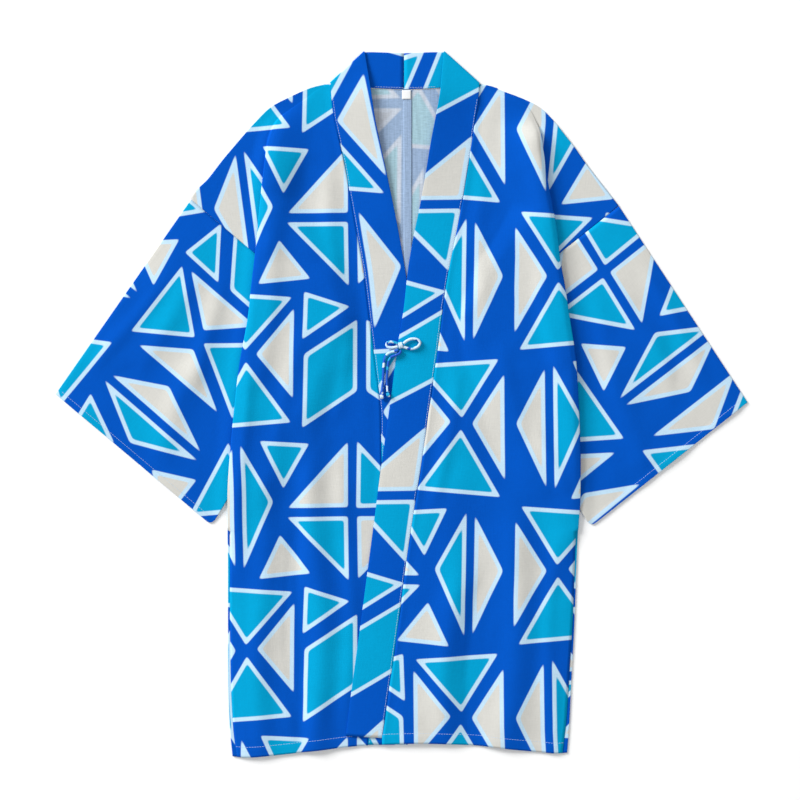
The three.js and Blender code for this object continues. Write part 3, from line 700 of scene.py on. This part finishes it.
def band_row(stations, edges, s, z):
    """Points across the band at s, from a table of its edges, which are a little rounded off."""
    seam_x, seam_y, free_x, free_y = (float(steady(stations, edges[name], s)) for name in BAND_EDGES)
    rounded = 0.25 * (1 - smooth(np.minimum(ACROSS_BAND, 1 - ACROSS_BAND) / 0.06))
    return np.column_stack([mix(seam_x, free_x, ACROSS_BAND), mix(seam_y, free_y, ACROSS_BAND),
                            z - rounded])


def band_behind_neck(side):
    """Rows of the band from the centre joint to beside the neck, and those of its turn there."""
    neck = BAND_NECK[side]
    count = np.arange(len(neck["seam_x"]))
    flat = [band_row(count, neck, t, BAND / 2 + 0.25) for t in np.linspace(0, count[-1], NECK_ROWS)]
    across = flat[-1][-1] - flat[-1][0]
    away = np.array([-across[1], across[0], 0])
    away *= math.copysign(BAND_TURN, away[1]) / np.linalg.norm(away)
    turned = []
    for angle in np.arange(1, TURN_ROWS + 1) * math.pi / TURN_ROWS:
        turned.append(flat[-1] + away * math.sin(angle) + (0, 0, BAND_TURN * (1 - math.cos(angle))))
    return flat, turned


def band_in_front(side, top):
    """Rows of the band from its turn, which ends at the row top, down to the hem."""
    start = dict(zip(BAND_EDGES, (*top[0, :2], *top[-1, :2])))
    edges = {name: np.append(start[name], BAND_FRONT[side][name]) for name in BAND_EDGES}
    over = np.append(BAND_FRONT[side]["over"][0], BAND_FRONT[side]["over"])
    stations = run_along(np.column_stack([edges["seam_x"], edges["seam_y"]]))
    rows = []
    for s in np.linspace(0, stations[-1], BAND_ROWS)[1:]:
        z = band_level(float(steady(stations, over, s)))
        row = band_row(stations, edges, s, max(z, top[0, 2]) if s < 6 else z)
        puff = 0.35 * np.sin(ACROSS_BAND * math.pi)
        puff += unevenness("band", side, row[:, 0], row[:, 1])
        row[:, 2] += np.maximum(puff + 0.1, 0) * smooth(s / 20)
        row[:, 2] += NECK_RISE * ACROSS_BAND**1.5 * smooth(s / 26) * (1 - smooth(s / NECK_RISE_RUN))
        rows.append(row)
    return rows


def band_cut_places(rows):
    """Where the band's points are on its flat cloth. Above one row the rows fan out, so there the
    print is laid as on flat cloth that is turned over beside the neck."""
    middle = np.array([row[len(ACROSS_BAND) // 2] for row in rows])
    run = run_along(middle)
    width = np.linalg.norm(rows[0][-1] - rows[0][0])
    uvs = [np.column_stack([ACROSS_BAND * width, np.full(len(ACROSS_BAND), -s)]) for s in run]
    even = int(np.searchsorted(run, run[NECK_ROWS] + EVEN_BAND))
    origin, step = middle[even, :2], (middle[even + 1] - middle[even - 1])[:2]
    beside = (rows[even][-1] - rows[even][0])[:2] / width
    onto_cloth = np.linalg.inv(np.column_stack([beside, step / np.linalg.norm(step)]))
    turn_start = rows[NECK_ROWS - 1][0, :2]
    turn_line = rows[NECK_ROWS - 1][-1, :2] - turn_start
    turn_line = turn_line / np.linalg.norm(turn_line)
    for k in range(even):
        place = rows[k][:, :2]
        if k < NECK_ROWS:
            off = place - turn_start
            place = turn_start + 2 * np.outer(off @ turn_line, turn_line) - off
        cut = (place - origin) @ onto_cloth.T
        uvs[k] = np.column_stack([cut[:, 0] + width / 2, -run[even] - cut[:, 1]])
    return uvs


def collar(side, right_side, _):
    flat, turned = band_behind_neck(side)
    rows = flat + turned + band_in_front(side, turned[-1])
    uvs = [uv + PRINT_PLACE["band", side] for uv in band_cut_places(rows)]
    return cloth(piece_name("collar", side), rows, uvs, BAND, right_side, right_side), cut_size(rows)


# ---------------------------------------------------------------- materials
def linear(hex_colour):
    """sRGB hex to linear RGBA."""
    parts = [int(hex_colour[k:k + 2], 16) / 255 for k in (1, 3, 5)]
    return (*[c / 12.92 if c <= 0.04045 else ((c + 0.055) / 1.055) ** 2.4 for c in parts], 1.0)


def node(tree, kind, settings=None, **links):
    """Adds a node. Settings are its properties and the values of its inputs, links are what feeds
    its inputs, by name or, as i0, by number."""
    made = tree.nodes.new(kind)
    for name, value in (settings or {}).items():
        if hasattr(made, name):
            setattr(made, name, value)
        else:
            made.inputs[name].default_value = value
    for name, source in links.items():
        key = int(name[1:]) if name[0] == "i" and name[1:].isdigit() else name.replace("_", " ")
        tree.links.new(source, made.inputs[key])
    return made


ROYAL = "#0053BD"
SKY = "#009ECF"
CREAM = "#D1D0CA"
ICE = "#BFDEF3"
# Ground, outline, sky facets and cream facets as they show through on the wrong side
WRONG_SIDE_COLOURS = ("#9FB7D6", "#D0D9E6", "#ACCFDC", "#C6CDD7")
PRINT_BLUR = 0.45  # how soft the edges of the print are, in units of one repeat
WRONG_SIDE_BLUR = 1.0
MOTTLE = 0.07  # how much darker the slubs and threads make it
WRONG_SIDE_MOTTLE = 0.3

# The print: facets with an ice outline on the royal ground. Corners are units of one repeat.
PRINT_SCALE = 1.12  # millimetres to a unit
REPEAT = (250.0, 320.0)
OUTLINE = 4.4  # width of the outline, in units
ROUNDING = 5.0  # how softly the corners of an outline are rounded
FACETS = [
    # a diamond of four
    ("sky", [(76, 316), (77, 243), (10, 245)]),
    ("cream", [(86, 315), (152, 243), (86, 244)]),
    ("cream", [(8, 234), (76, 234), (75, 166)]),
    ("sky", [(86, 234), (153, 233), (85, 164)]),
    # a kite of two
    ("sky", [(201, 176), (168, 250), (203, 312)]),
    ("cream", [(210, 178), (212, 308), (243, 248)]),
    # small triangles beside them
    ("sky", [(128, 313), (182, 316), (157, 264)]),
    ("cream", [(127, 172), (184, 166), (161, 214)]),
    ("sky", [(10, 108), (64, 144), (9, 206)]),
    ("sky", [(84, 142), (136, 106), (134, 158)]),
    # arrow feathers
    ("sky", [(8, 12), (66, 50), (66, 128), (8, 92)]),
    ("sky", [(76, 50), (136, 10), (134, 90), (76, 128)]),
    # scales
    ("sky", [(148, 16), (240, 8), (197, 82)]),
    ("sky", [(147, 152), (238, 158), (198, 94)]),
    ("cream", [(146, 42), (145, 140), (186, 90)]),
    ("cream", [(245, 26), (244, 142), (209, 88)]),
]
PRINT_PLACE = {
    ("front", -1): np.array([31.0, 40.0]), ("front", 1): np.array([148.0, 122.0]),
    ("back", -1): np.array([10.0, 260.0]), ("back", 1): np.array([200.0, 60.0]),
    ("sleeve", -1): np.array([96.0, 210.0]), ("sleeve", 1): np.array([40.0, 330.0]),
    ("band", -1): np.array([232.0, 236.0]), ("band", 1): np.array([96.0, 150.0]),
}


def maths(tree, operation, *values):
    """A maths node with numbers or sources as its inputs; gives its output."""
    made = node(tree, "ShaderNodeMath", {"operation": operation})
    for k, value in enumerate(values):
        if isinstance(value, (int, float)):
            made.inputs[k].default_value = value
        else:
            tree.links.new(value, made.inputs[k])
    return made.outputs[0]


def facet_depth(tree, x, y, corners):
    """How far a point is outside a facet, in units; negative inside it."""
    middle = np.mean(corners, axis=0)
    depth = None
    for start, end in zip(corners, corners[1:] + corners[:1]):
        normal = np.array([end[1] - start[1], start[0] - end[0]]) / math.dist(start, end)
        if np.dot(normal, middle - start) > 0:
            normal = -normal
        side = maths(tree, "MULTIPLY_ADD", x, float(normal[0]), -float(np.dot(normal, start)))
        side = maths(tree, "MULTIPLY_ADD", y, float(normal[1]), side)
        depth = side if depth is None else maths(tree, "SMOOTH_MAX", depth, side, ROUNDING)
    return depth


def print_group():
    """The print as a node group: depths in the sky facets and in the cream ones, in units."""
    tree = bpy.data.node_groups.new("facet_print", "ShaderNodeTree")
    for name in ("Sky", "Cream"):
        tree.interface.new_socket(name, in_out="OUTPUT", socket_type="NodeSocketFloat")
    place = node(tree, "ShaderNodeUVMap", {"uv_map": "cut"}).outputs[0]
    split = node(tree, "ShaderNodeSeparateXYZ", i0=place)
    repeats = [1 / (MM * PRINT_SCALE * size) for size in REPEAT]
    across, up = (maths(tree, "MULTIPLY", split.outputs[k], repeats[k]) for k in (0, 1))
    odd = maths(tree, "MODULO", maths(tree, "ABSOLUTE", maths(tree, "FLOOR", across)), 2.0)
    up = maths(tree, "MULTIPLY_ADD", odd, 0.5, up)  # every other column is half a repeat higher
    x = maths(tree, "MULTIPLY", maths(tree, "FRACT", across), REPEAT[0])
    y = maths(tree, "MULTIPLY", maths(tree, "FRACT", up), REPEAT[1])
    mirrored = maths(tree, "MULTIPLY_ADD", x, -2.0, REPEAT[0])
    x = maths(tree, "MULTIPLY_ADD", mirrored, odd, x)  # and mirrored
    ends = node(tree, "NodeGroupOutput")
    for k, colour in enumerate(("sky", "cream")):
        depths = [facet_depth(tree, x, y, corners) for kind, corners in FACETS if kind == colour]
        nearest = depths[0]
        for depth in depths[1:]:
            nearest = maths(tree, "MINIMUM", nearest, depth)
        tree.links.new(nearest, ends.inputs[k])
    return tree


def print_masks(tree, group, soften):
    """0 to 1 masks of the outlines, the sky facets and the cream facets of the print."""
    depths = node(tree, "ShaderNodeGroup", {"node_tree": group}).outputs

    def inside(depth, shift):
        limits = {"From Min": soften - shift, "From Max": -soften - shift}
        return node(tree, "ShaderNodeMapRange", limits, Value=depth).outputs[0]

    every = maths(tree, "MINIMUM", depths[0], depths[1])
    return inside(every, 0.0), inside(depths[0], OUTLINE), inside(depths[1], OUTLINE)


def blend(tree, factor, a, b):
    """A mix of two colours, which are values or sources, as is the factor."""
    made = node(tree, "ShaderNodeMix", {"data_type": "RGBA"})
    for k, value in ((0, factor), (6, a), (7, b)):
        if isinstance(value, (tuple, float)):
            made.inputs[k].default_value = value
        else:
            tree.links.new(value, made.inputs[k])
    return made.outputs[2]


def new_material(name, roughness):
    """A material with its node tree and its shader."""
    material = bpy.data.materials.new(name)
    material.use_nodes = True
    shader = material.node_tree.nodes["Principled BSDF"]
    shader.inputs["Roughness"].default_value = roughness
    return material, material.node_tree, shader


# Grains to a metre, which are 0.56 mm, 0.38 mm, 0.45 mm and 71 mm wide
CORD_GRAINS = 1800.0
THREAD_GRAINS = 2600.0
TAPE_GRAINS = 2200.0
PAPER_GRAINS = 14.0


def grain(tree, per_metre, detail):
    """Fine unevenness, with so many grains to a metre."""
    place = node(tree, "ShaderNodeTexCoord").outputs["Object"]
    settings = {"Scale": per_metre, "Detail": detail}
    return node(tree, "ShaderNodeTexNoise", settings, Vector=place).outputs[0]


def bump(tree, height, strength, distance):
    """A normal from a height; distance in millimetres."""
    settings = {"Strength": strength, "Distance": distance * MM}
    return node(tree, "ShaderNodeBump", settings, Height=height).outputs[0]


# Slubs and threads to a metre, across and along the cut: 620 are 1.6 mm apart, 90 are 11 mm apart.
# Real threads are 0.4 mm apart, and are drawn four times as coarse, so that they show. The wrong
# side has warp slubs that are 42 mm long.
RIGHT_SIDE_THREADS = ((90.0, 620.0), (620.0, 90.0))
WRONG_SIDE_THREADS = ((560.0, 24.0), (150.0, 640.0))


def weave(tree, threads, strength):
    """Slubs and threads of plain cotton: a mottle factor and a normal."""
    place = node(tree, "ShaderNodeUVMap", {"uv_map": "cut"}).outputs[0]
    layers = []
    for across, along in threads:
        stretch = {"Scale": (across, along, 1.0)}
        scaled = node(tree, "ShaderNodeMapping", stretch, Vector=place).outputs[0]
        settings = {"Scale": 1.0, "Detail": 3.0, "Roughness": 0.6}
        layers.append(node(tree, "ShaderNodeTexNoise", settings, Vector=scaled).outputs[0])
    both = maths(tree, "ADD", *layers)
    mottle = node(tree, "ShaderNodeMapRange", {"From Min": 0.7, "From Max": 1.3}, Value=both)
    return mottle.outputs[0], bump(tree, both, strength, 0.4)


def cotton(name, group, wrong=False):
    """Plain-woven cotton, pigment printed: matt, with slight slubs. The wrong side shows the print
    only as a pale ghost and its weave more strongly."""
    material, tree, shader = new_material(name, 0.92)
    masks = print_masks(tree, group, WRONG_SIDE_BLUR if wrong else PRINT_BLUR)
    base, *colours = WRONG_SIDE_COLOURS if wrong else (ROYAL, ICE, SKY, CREAM)
    base = linear(base)
    for mask, colour in zip(masks, colours):
        base = blend(tree, mask, base, linear(colour))
    mottle, normal = weave(tree, WRONG_SIDE_THREADS if wrong else RIGHT_SIDE_THREADS, 0.35)
    dark = blend(tree, WRONG_SIDE_MOTTLE if wrong else MOTTLE, base, (0.0, 0.0, 0.0, 1.0))
    tree.links.new(blend(tree, mottle, dark, base), shader.inputs["Base Color"])
    tree.links.new(normal, shader.inputs["Normal"])
    shader.inputs["Specular IOR Level"].default_value = 0.06
    return material


PATCHES = 190.0  # patches of the print to a metre of cord, which are 5.3 mm long
LOOP_PATCHES = [(0.0, "#CBE0F0"), (0.45, ROYAL), (0.6, "#BBDBF2"), (0.78, SKY), (0.92, "#D6E3EC")]
END_PATCHES = [(0.0, ROYAL), (0.5, "#CBE0F0"), (0.62, ROYAL), (0.8, SKY), (0.9, "#BBDBF2")]


def tie_cotton(name, patches):
    """Narrow cords sewn from offcuts of the same print: patches of ice, sky and royal."""
    material, tree, shader = new_material(name, 0.85)
    place = node(tree, "ShaderNodeTexCoord").outputs["Object"]
    cells = node(tree, "ShaderNodeTexVoronoi", {"Scale": PATCHES}, Vector=place)
    which = node(tree, "ShaderNodeSeparateColor", i0=cells.outputs["Color"]).outputs[0]
    ramp = node(tree, "ShaderNodeValToRGB", i0=which)
    ramp.color_ramp.interpolation = "CONSTANT"
    for k, (at, colour) in enumerate(patches):
        stop = ramp.color_ramp.elements[k] if k < 2 else ramp.color_ramp.elements.new(at)
        stop.position = at
        stop.color = linear(colour)
    tree.links.new(ramp.outputs[0], shader.inputs["Base Color"])
    tree.links.new(bump(tree, grain(tree, CORD_GRAINS, 2.0), 0.4, 0.3), shader.inputs["Normal"])
    return material


def plain_cloth(name, colour, roughness, grains):
    """Thread or tape of one dyed colour with a fine uneven surface."""
    material, tree, shader = new_material(name, roughness)
    uneven = grain(tree, grains, 3.0)
    shade = node(tree, "ShaderNodeMapRange", {"From Min": 0.3, "From Max": 0.7}, Value=uneven)
    lighter = linear(colour)
    darker = (*(0.85 * c for c in lighter[:3]), 1.0)
    tree.links.new(blend(tree, shade.outputs[0], darker, lighter), shader.inputs["Base Color"])
    tree.links.new(bump(tree, uneven, 0.3, 0.2), shader.inputs["Normal"])
    return material


def seamless_paper():
    """Pale studio paper: matt, evenly white, with no visible grain."""
    material, tree, shader = new_material("seamless_paper", 0.9)
    shades = linear("#FAFBFB"), linear("#FDFDFD")
    tree.links.new(blend(tree, grain(tree, PAPER_GRAINS, 2.0), *shades), shader.inputs["Base Color"])
    return material


# ---------------------------------------------------------------- camera, floor and light
VIEW_WIDTH = 972.6  # width of ground in view
VIEW_CENTRE = (-1.8, 5.2)
CAMERA_HEIGHT = 3200.0
VIEW_LEVEL = 6.0  # height of the cloth at which the view has that width
SENSOR = 36.0
FLOOR_HALF = 10000.0
FLOOR_DROP = 0.3  # so that no cloth shares the floor's plane
# Name, place and size in metres, and power
LAMPS = [
    ("key", (-6.9, 5.4, 3.9), 4.0, 1300.0),
    ("fill", (1.8, -1.5, 2.8), 3.4, 15.0),
    ("top", (0.3, -0.3, 4.2), 4.0, 22.0),
]
WORLD_STRENGTH = 0.39


def floor():
    corners = [(x * FLOOR_HALF, y * FLOOR_HALF) for x, y in ((-1, -1), (1, -1), (1, 1), (-1, 1))]
    mesh = bpy.data.meshes.new("floor")
    mesh.from_pydata([(x * MM, y * MM, -FLOOR_DROP * MM) for x, y in corners], [], [(0, 1, 2, 3)])
    mesh.materials.append(seamless_paper())
    ground = bpy.data.objects.new("floor", mesh)
    bpy.context.scene.collection.objects.link(ground)


def studio():
    camera = bpy.data.objects.new("camera", bpy.data.cameras.new("camera"))
    camera.data.sensor_width = SENSOR
    camera.data.lens = SENSOR * (CAMERA_HEIGHT - VIEW_LEVEL) / VIEW_WIDTH
    camera.location = (VIEW_CENTRE[0] * MM, VIEW_CENTRE[1] * MM, CAMERA_HEIGHT * MM)
    bpy.context.scene.collection.objects.link(camera)
    bpy.context.scene.camera = camera
    floor()
    for name, place, size, power in LAMPS:
        light = bpy.data.lights.new(name, "AREA")
        light.size = size
        light.energy = power
        lamp = bpy.data.objects.new(name, light)
        lamp.location = place
        lamp.rotation_euler = (-Vector(place)).to_track_quat("-Z", "Y").to_euler()
        bpy.context.scene.collection.objects.link(lamp)
    world = bpy.data.worlds.new("studio")
    world.use_nodes = True
    world.node_tree.nodes["Background"].inputs[0].default_value = (1.0, 1.0, 1.0, 1.0)
    world.node_tree.nodes["Background"].inputs[1].default_value = WORLD_STRENGTH
    bpy.context.scene.world = world
    bpy.context.scene.view_settings.view_transform = "Standard"


# ---------------------------------------------------------------- ties
CORD = 3.2
# Each cord's route, from the bow's knot
TIES = {
    "tie_loop_left": [
        (-4.6, 73.8, 7.4), (-8.5, 75.4, 7.05), (-13, 76.0, 6.5), (-16.8, 75.0, 6.3), (-18.2, 72.4, 6.1),
        (-16.8, 69.8, 6.1), (-13, 69.0, 6.4), (-8.5, 69.3, 7.05), (-4.6, 70.2, 7.4)],
    "tie_loop_right": [
        (2.4, 73.9, 7.4), (6, 76.8, 7.35), (11, 79.2, 7.35), (16, 79.6, 7.35), (20.4, 78.0, 7.35),
        (22.4, 74.8, 7.35), (20.8, 71.2, 7.35), (17, 68.6, 7.35), (12, 67.4, 7.35), (6.5, 68.4, 7.35),
        (2.4, 69.8, 7.4)],
    "tie_end_long": [
        (-4.0, 65.8, 7.4), (-8.5, 64.4, 7.05), (-13.5, 63.2, 6.2), (-18, 60.2, 5.4), (-20.6, 54.5, 5.3),
        (-21.5, 47, 5.3), (-21.9, 39, 5.3), (-22.4, 31, 5.3), (-23, 22, 5.3), (-23.7, 12.4, 5.3)],
    "tie_end_short": [
        (-0.3, 65.4, 7.4), (-2.6, 61.8, 7.4), (-7, 59.6, 7.35), (-11.8, 57.8, 6.3), (-15, 54, 5.4),
        (-16.4, 48, 5.3), (-17, 41, 5.3), (-17.6, 33, 5.3), (-17.4, 24, 5.3), (-16.6, 14.6, 5.3)],
}
# Place and size of each knot
KNOTS = {
    "tie_knot": ((-1.1, 71.6, 7.9), (6.4, 8.0, 4.4)),
    "tie_end_long_knot": ((-23.9, 9.1, 6.1), (5.2, 5.6, 4.6)),
    "tie_end_short_knot": ((-16.3, 11.2, 6.1), (5.2, 5.6, 4.6)),
}
# What each cord ends in, and the knots that lie on it
TIE_ENDS = {
    "tie_loop_left": ("object", ["tie_knot"]),
    "tie_loop_right": ("object", []),
    "tie_end_long": ("knot", ["tie_end_long_knot"]),
    "tie_end_short": ("knot", ["tie_end_short_knot"]),
}
STRANDS = ((-0.42, 0.2), (0.0, -0.15), (0.42, 0.25))  # place along the knot, and tilt, of each
STRAND_SIZE = (1.0, 0.72, 0.72)  # shares of half the knot's size
STRAND_THICKNESS = 0.36
STRAND_RINGS = 28
STRAND_SIDES = 10
CORE_SIZE = (0.78, 0.7, 0.7)
CORE_RINGS = 9
CORE_SIDES = 16


def through(points, count):
    """Points along a centripetal spline through the given ones, as in the frame."""
    points = [np.array(p, float) for p in points]
    points = [2 * points[0] - points[1], *points, 2 * points[-1] - points[-2]]
    line = []
    for p0, p1, p2, p3 in zip(points, points[1:], points[2:], points[3:]):
        d1, d2, d3 = (max(np.linalg.norm(b - a) ** 0.5, 1e-6) for a, b in ((p0, p1), (p1, p2), (p2, p3)))
        m1 = (p2 - p1) + d2 * ((p1 - p0) / d1 - (p2 - p0) / (d1 + d2))
        m2 = (p2 - p1) + d2 * ((p3 - p2) / d3 - (p3 - p1) / (d2 + d3))
        for k in range(count):
            t = k / count
            line.append((2 * t**3 - 3 * t**2 + 1) * p1 + (t**3 - 2 * t**2 + t) * m1
                        + (3 * t**2 - 2 * t**3) * p2 + (t**3 - t**2) * m2)
    line.append(points[-2])
    return np.array(line)


def tie_cord(name, material):
    line = through(TIES[name], 8) * MM
    curve = bpy.data.curves.new(name + "_cord", "CURVE")
    curve.dimensions = "3D"
    curve.bevel_depth = CORD / 2 * MM
    curve.bevel_resolution = 4
    curve.use_fill_caps = True
    spline = curve.splines.new("POLY")
    spline.points.add(len(line) - 1)
    spline.points.foreach_set("co", np.column_stack([line, np.ones(len(line))]).ravel())
    curve.materials.append(material)
    piece = bpy.data.objects.new(name + "_cord", curve)
    bpy.context.scene.collection.objects.link(piece)
    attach(piece, "root")
    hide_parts(name)
    return piece, line


def ring_faces(start, rings, sides, closed=False):
    """Faces between rings of vertices, and from the last ring to the first if closed."""
    faces = []
    for i in range(rings if closed else rings - 1):
        a, b = start + i * sides, start + (i + 1) % rings * sides
        faces += [(a + j, a + (j + 1) % sides, b + (j + 1) % sides, b + j) for j in range(sides)]
    return faces


def angles(count):
    return np.arange(count) * 2 * math.pi / count


def strand(half, shift, tilt):
    """Points of a strand wound once round a knot of that half size."""
    a = np.repeat(angles(STRAND_RINGS), STRAND_SIDES)
    b = np.tile(angles(STRAND_SIDES), STRAND_RINGS)
    radii = half * STRAND_SIZE
    wide = 1 + STRAND_THICKNESS * np.cos(b)
    x = radii[0] * STRAND_THICKNESS * 1.15 * np.sin(b) + shift * half[0]
    y, z = radii[1] * wide * np.cos(a), radii[2] * wide * np.sin(a)
    turned = [[math.cos(tilt), math.sin(tilt)], [-math.sin(tilt), math.cos(tilt)]]
    return np.column_stack([np.column_stack([x, y]) @ turned, z])


def knot(name, material):
    """A pulled knot: a core with three strands wound over it, each a little off the last."""
    place, size = (np.array(values) for values in KNOTS[name])
    points, faces = [], []
    for k, (shift, tilt) in enumerate(STRANDS):
        points.append(strand(size / 2, shift, tilt))
        faces += ring_faces(k * len(points[0]), STRAND_RINGS, STRAND_SIDES, closed=True)
    core = len(STRANDS) * len(points[0])
    for p in np.arange(1, CORE_RINGS + 1) * math.pi / (CORE_RINGS + 1):
        t = angles(CORE_SIDES)
        ring = [np.full(CORE_SIDES, math.cos(p)), math.sin(p) * np.cos(t), math.sin(p) * np.sin(t)]
        points.append(np.column_stack(ring) * CORE_SIZE * size / 2)
    faces += ring_faces(core, CORE_RINGS, CORE_SIDES)
    last = core + (CORE_RINGS - 1) * CORE_SIDES
    faces += [tuple(range(core + CORE_SIDES - 1, core - 1, -1)), tuple(range(last, last + CORE_SIDES))]
    piece = new_piece(name + "_wound", place + np.concatenate(points), faces, None, [material])
    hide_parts(name)
    return piece


# ---------------------------------------------------------------- label and stitching
LABEL_SIDE = 9  # points along each side
LABEL_PUFF = 0.25


def neck_label(material):
    low, high = (np.array(corner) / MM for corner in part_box("neck_label"))
    shares = np.linspace(0, 1, LABEL_SIDE)
    u, v = (grid.ravel() for grid in np.meshgrid(shares, shares))
    x, y = mix(low[0], high[0], u), mix(low[1], high[1], v)
    under = np.column_stack([x, y, np.full(len(x), low[2])])
    top = np.column_stack([x, y, high[2] + LABEL_PUFF * np.sin(u * math.pi)])
    side, count = LABEL_SIDE, len(x)
    faces = []
    for a in (i * side + j for i in range(side - 1) for j in range(side - 1)):
        faces.append(tuple(k + count for k in (a, a + 1, a + side + 1, a + side)))
        faces.append((a, a + side, a + side + 1, a + 1))
    rim = [*range(side), *range(2 * side - 1, count, side), *range(count - 2, count - side - 1, -1),
           *range(count - 2 * side, 0, -side)]
    faces += [(a, b, b + count, a + count) for a, b in zip(rim, rim[1:] + rim[:1])]
    piece = new_piece("neck_label_tape", np.vstack([under, top]), faces, None, [material])
    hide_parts("neck_label")
    return piece


STITCH_LENGTH = 2.5
STITCH_WIDTH = 0.4
STITCH_HEIGHT = 0.18
STITCH_STEP = 3.2  # from one stitch to the next
STEEPEST = 1.2  # height that one stitch may climb; where the cloth climbs more there is none
BAND_STITCH = 1.6  # from the band's seams to the stitching beside them


def surface_heights(pieces):
    """A function that gives the top of one of the pieces at x, y, in millimetres."""
    bpy.context.view_layer.update()
    depsgraph = bpy.context.evaluated_depsgraph_get()
    found = {piece.name: piece for piece in pieces}

    def height(x, y, name):
        hit, place, _, _ = found[name].ray_cast((x * MM, y * MM, 0.1), (0, 0, -1), depsgraph=depsgraph)
        return place.z / MM if hit else None

    return height


def seam_lines(side):
    """Lines of visible stitching for the pieces of one side, in millimetres."""
    front, neck = BAND_FRONT[side], BAND_NECK[side]
    seam = np.column_stack([front["seam_x"], front["seam_y"]])
    free = np.column_stack([front["free_x"], front["free_y"]])
    band = mix(seam, free, BAND_STITCH / np.linalg.norm(free - seam, axis=1)[:, None])
    across = np.linspace(neck["seam_x"][0], front["free_x"][0] - 5 * side, 12)
    above = steady(side * neck["seam_x"], neck["seam_y"], side * across) + BAND_STITCH
    behind = np.column_stack([across, above])
    corner = {name: np.array(place) for name, place in SLEEVE[side].items()}
    inside = corner["shoulder"] - corner["cuff_top"]
    inside *= CUFF_DEPTH / np.linalg.norm(inside)
    down = np.linspace(0.02, 0.97, 20)[:, None]
    cuff = mix(corner["cuff_top"], corner["cuff_end"], down) + inside
    ends = sorted((side * body_row(side, HEM_ROW_Y)["fold"] * 0.985,
                   side * (band_seam(side, HEM_ROW_Y) + 1)))
    across = np.linspace(*ends, 40)
    hem = np.column_stack([across, steady(HEM["x"], HEM["y"], across) + HEM_DEPTH])
    return {"collar": [band, behind], "sleeve": [cuff], "front": [hem]}


def stitch(a, b):
    """Points and faces of one stitch between two places: a small rounded bar with closed ends."""
    along = (b - a) / np.linalg.norm(b - a)
    beside = np.array([-along[1], along[0], 0]) * STITCH_WIDTH / 2
    points = []
    for t, height, width in ((0.0, 0.02, 0.6), (0.25, STITCH_HEIGHT, 1.0), (0.75, STITCH_HEIGHT, 1.0),
                             (1.0, 0.02, 0.6)):
        for across, up in ((-1, 0.35), (0, 1.0), (1, 0.35)):
            points.append(mix(a, b, t) + beside * across * width + (0, 0, height * up))
    points += [a - (0, 0, 0.05), b - (0, 0, 0.05)]
    faces = [(p, p + 3, p + 4, p + 1) for i in (0, 3, 6) for p in (i, i + 1)]
    faces += [(0, 1, 2, 12), (11, 10, 9, 13), (0, 12, 13, 9, 6, 3), (2, 5, 8, 11, 13, 12)]
    return points, faces


def stitches(name, lines, height, cloth_name, material):
    """Every stitch of some seams as one mesh that lies on the cloth."""
    vertices, faces = [], []
    for line in lines:
        run = run_along(line)
        for k in range(int(run[-1] / STITCH_STEP)):
            ends = []
            for s in (k * STITCH_STEP + 0.4, k * STITCH_STEP + 0.4 + STITCH_LENGTH):
                x, y = (float(np.interp(s, run, line[:, axis])) for axis in (0, 1))
                ends.append((x, y, height(x, y, cloth_name)))
            if None in (ends[0][2], ends[1][2]) or abs(ends[0][2] - ends[1][2]) > STEEPEST:
                continue
            points, sides = stitch(*np.array(ends))
            faces += [tuple(len(vertices) + p for p in face) for face in sides]
            vertices += points
    return new_piece(name, np.array(vertices), faces, None, [material])


# ---------------------------------------------------------------- build
studio()
group = print_group()
print_side = cotton("printed_cotton", group)
wrong_side = cotton("cotton_wrong_side", group, wrong=True)
loop_cotton = tie_cotton("tie_cotton", LOOP_PATCHES)
end_cotton = tie_cotton("tie_end_cotton", END_PATCHES)
thread = plain_cloth("polyester_thread", "#C4D9F0", 0.6, THREAD_GRAINS)
tape = plain_cloth("woven_label_tape", "#F3F5F6", 0.7, TAPE_GRAINS)

knots = {name: knot(name, loop_cotton) for name in KNOTS}
for name, (far_end, on_it) in TIE_ENDS.items():
    piece, line = tie_cord(name, end_cotton if far_end == "knot" else loop_cotton)
    float(run_along(line)[-1])

MAKERS = {"back": back_panel, "front": front_panel, "sleeve": sleeve, "collar": collar}
HANDS = {-1: "left", 1: "right"}
garment, cuts = {}, {}
for side, hand in HANDS.items():
    for kind, maker in MAKERS.items():
        piece, cuts[kind, side] = maker(side, print_side, wrong_side)
        garment[kind, side] = piece
        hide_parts(kind + "_" + hand)
label = neck_label(tape)

height = surface_heights(garment.values())
for side, hand in HANDS.items():
    sewn = {kind: stitches(kind + "_" + hand + "_stitches", lines, height, garment[kind, side].name, thread)
            for kind, lines in seam_lines(side).items()}
    lies_on = {
        "back": ["floor"],
        "front": [garment["back", side], garment["back", -side]],
        "sleeve": ["floor", garment["back", side]],
        "collar": [garment["back", side], garment["front", side]],
    }
    for kind, below in lies_on.items():
        on_it = [sewn[kind]] if kind in sewn else []
        if (kind, hand) == ("back", "left"):
            on_it.append(label)
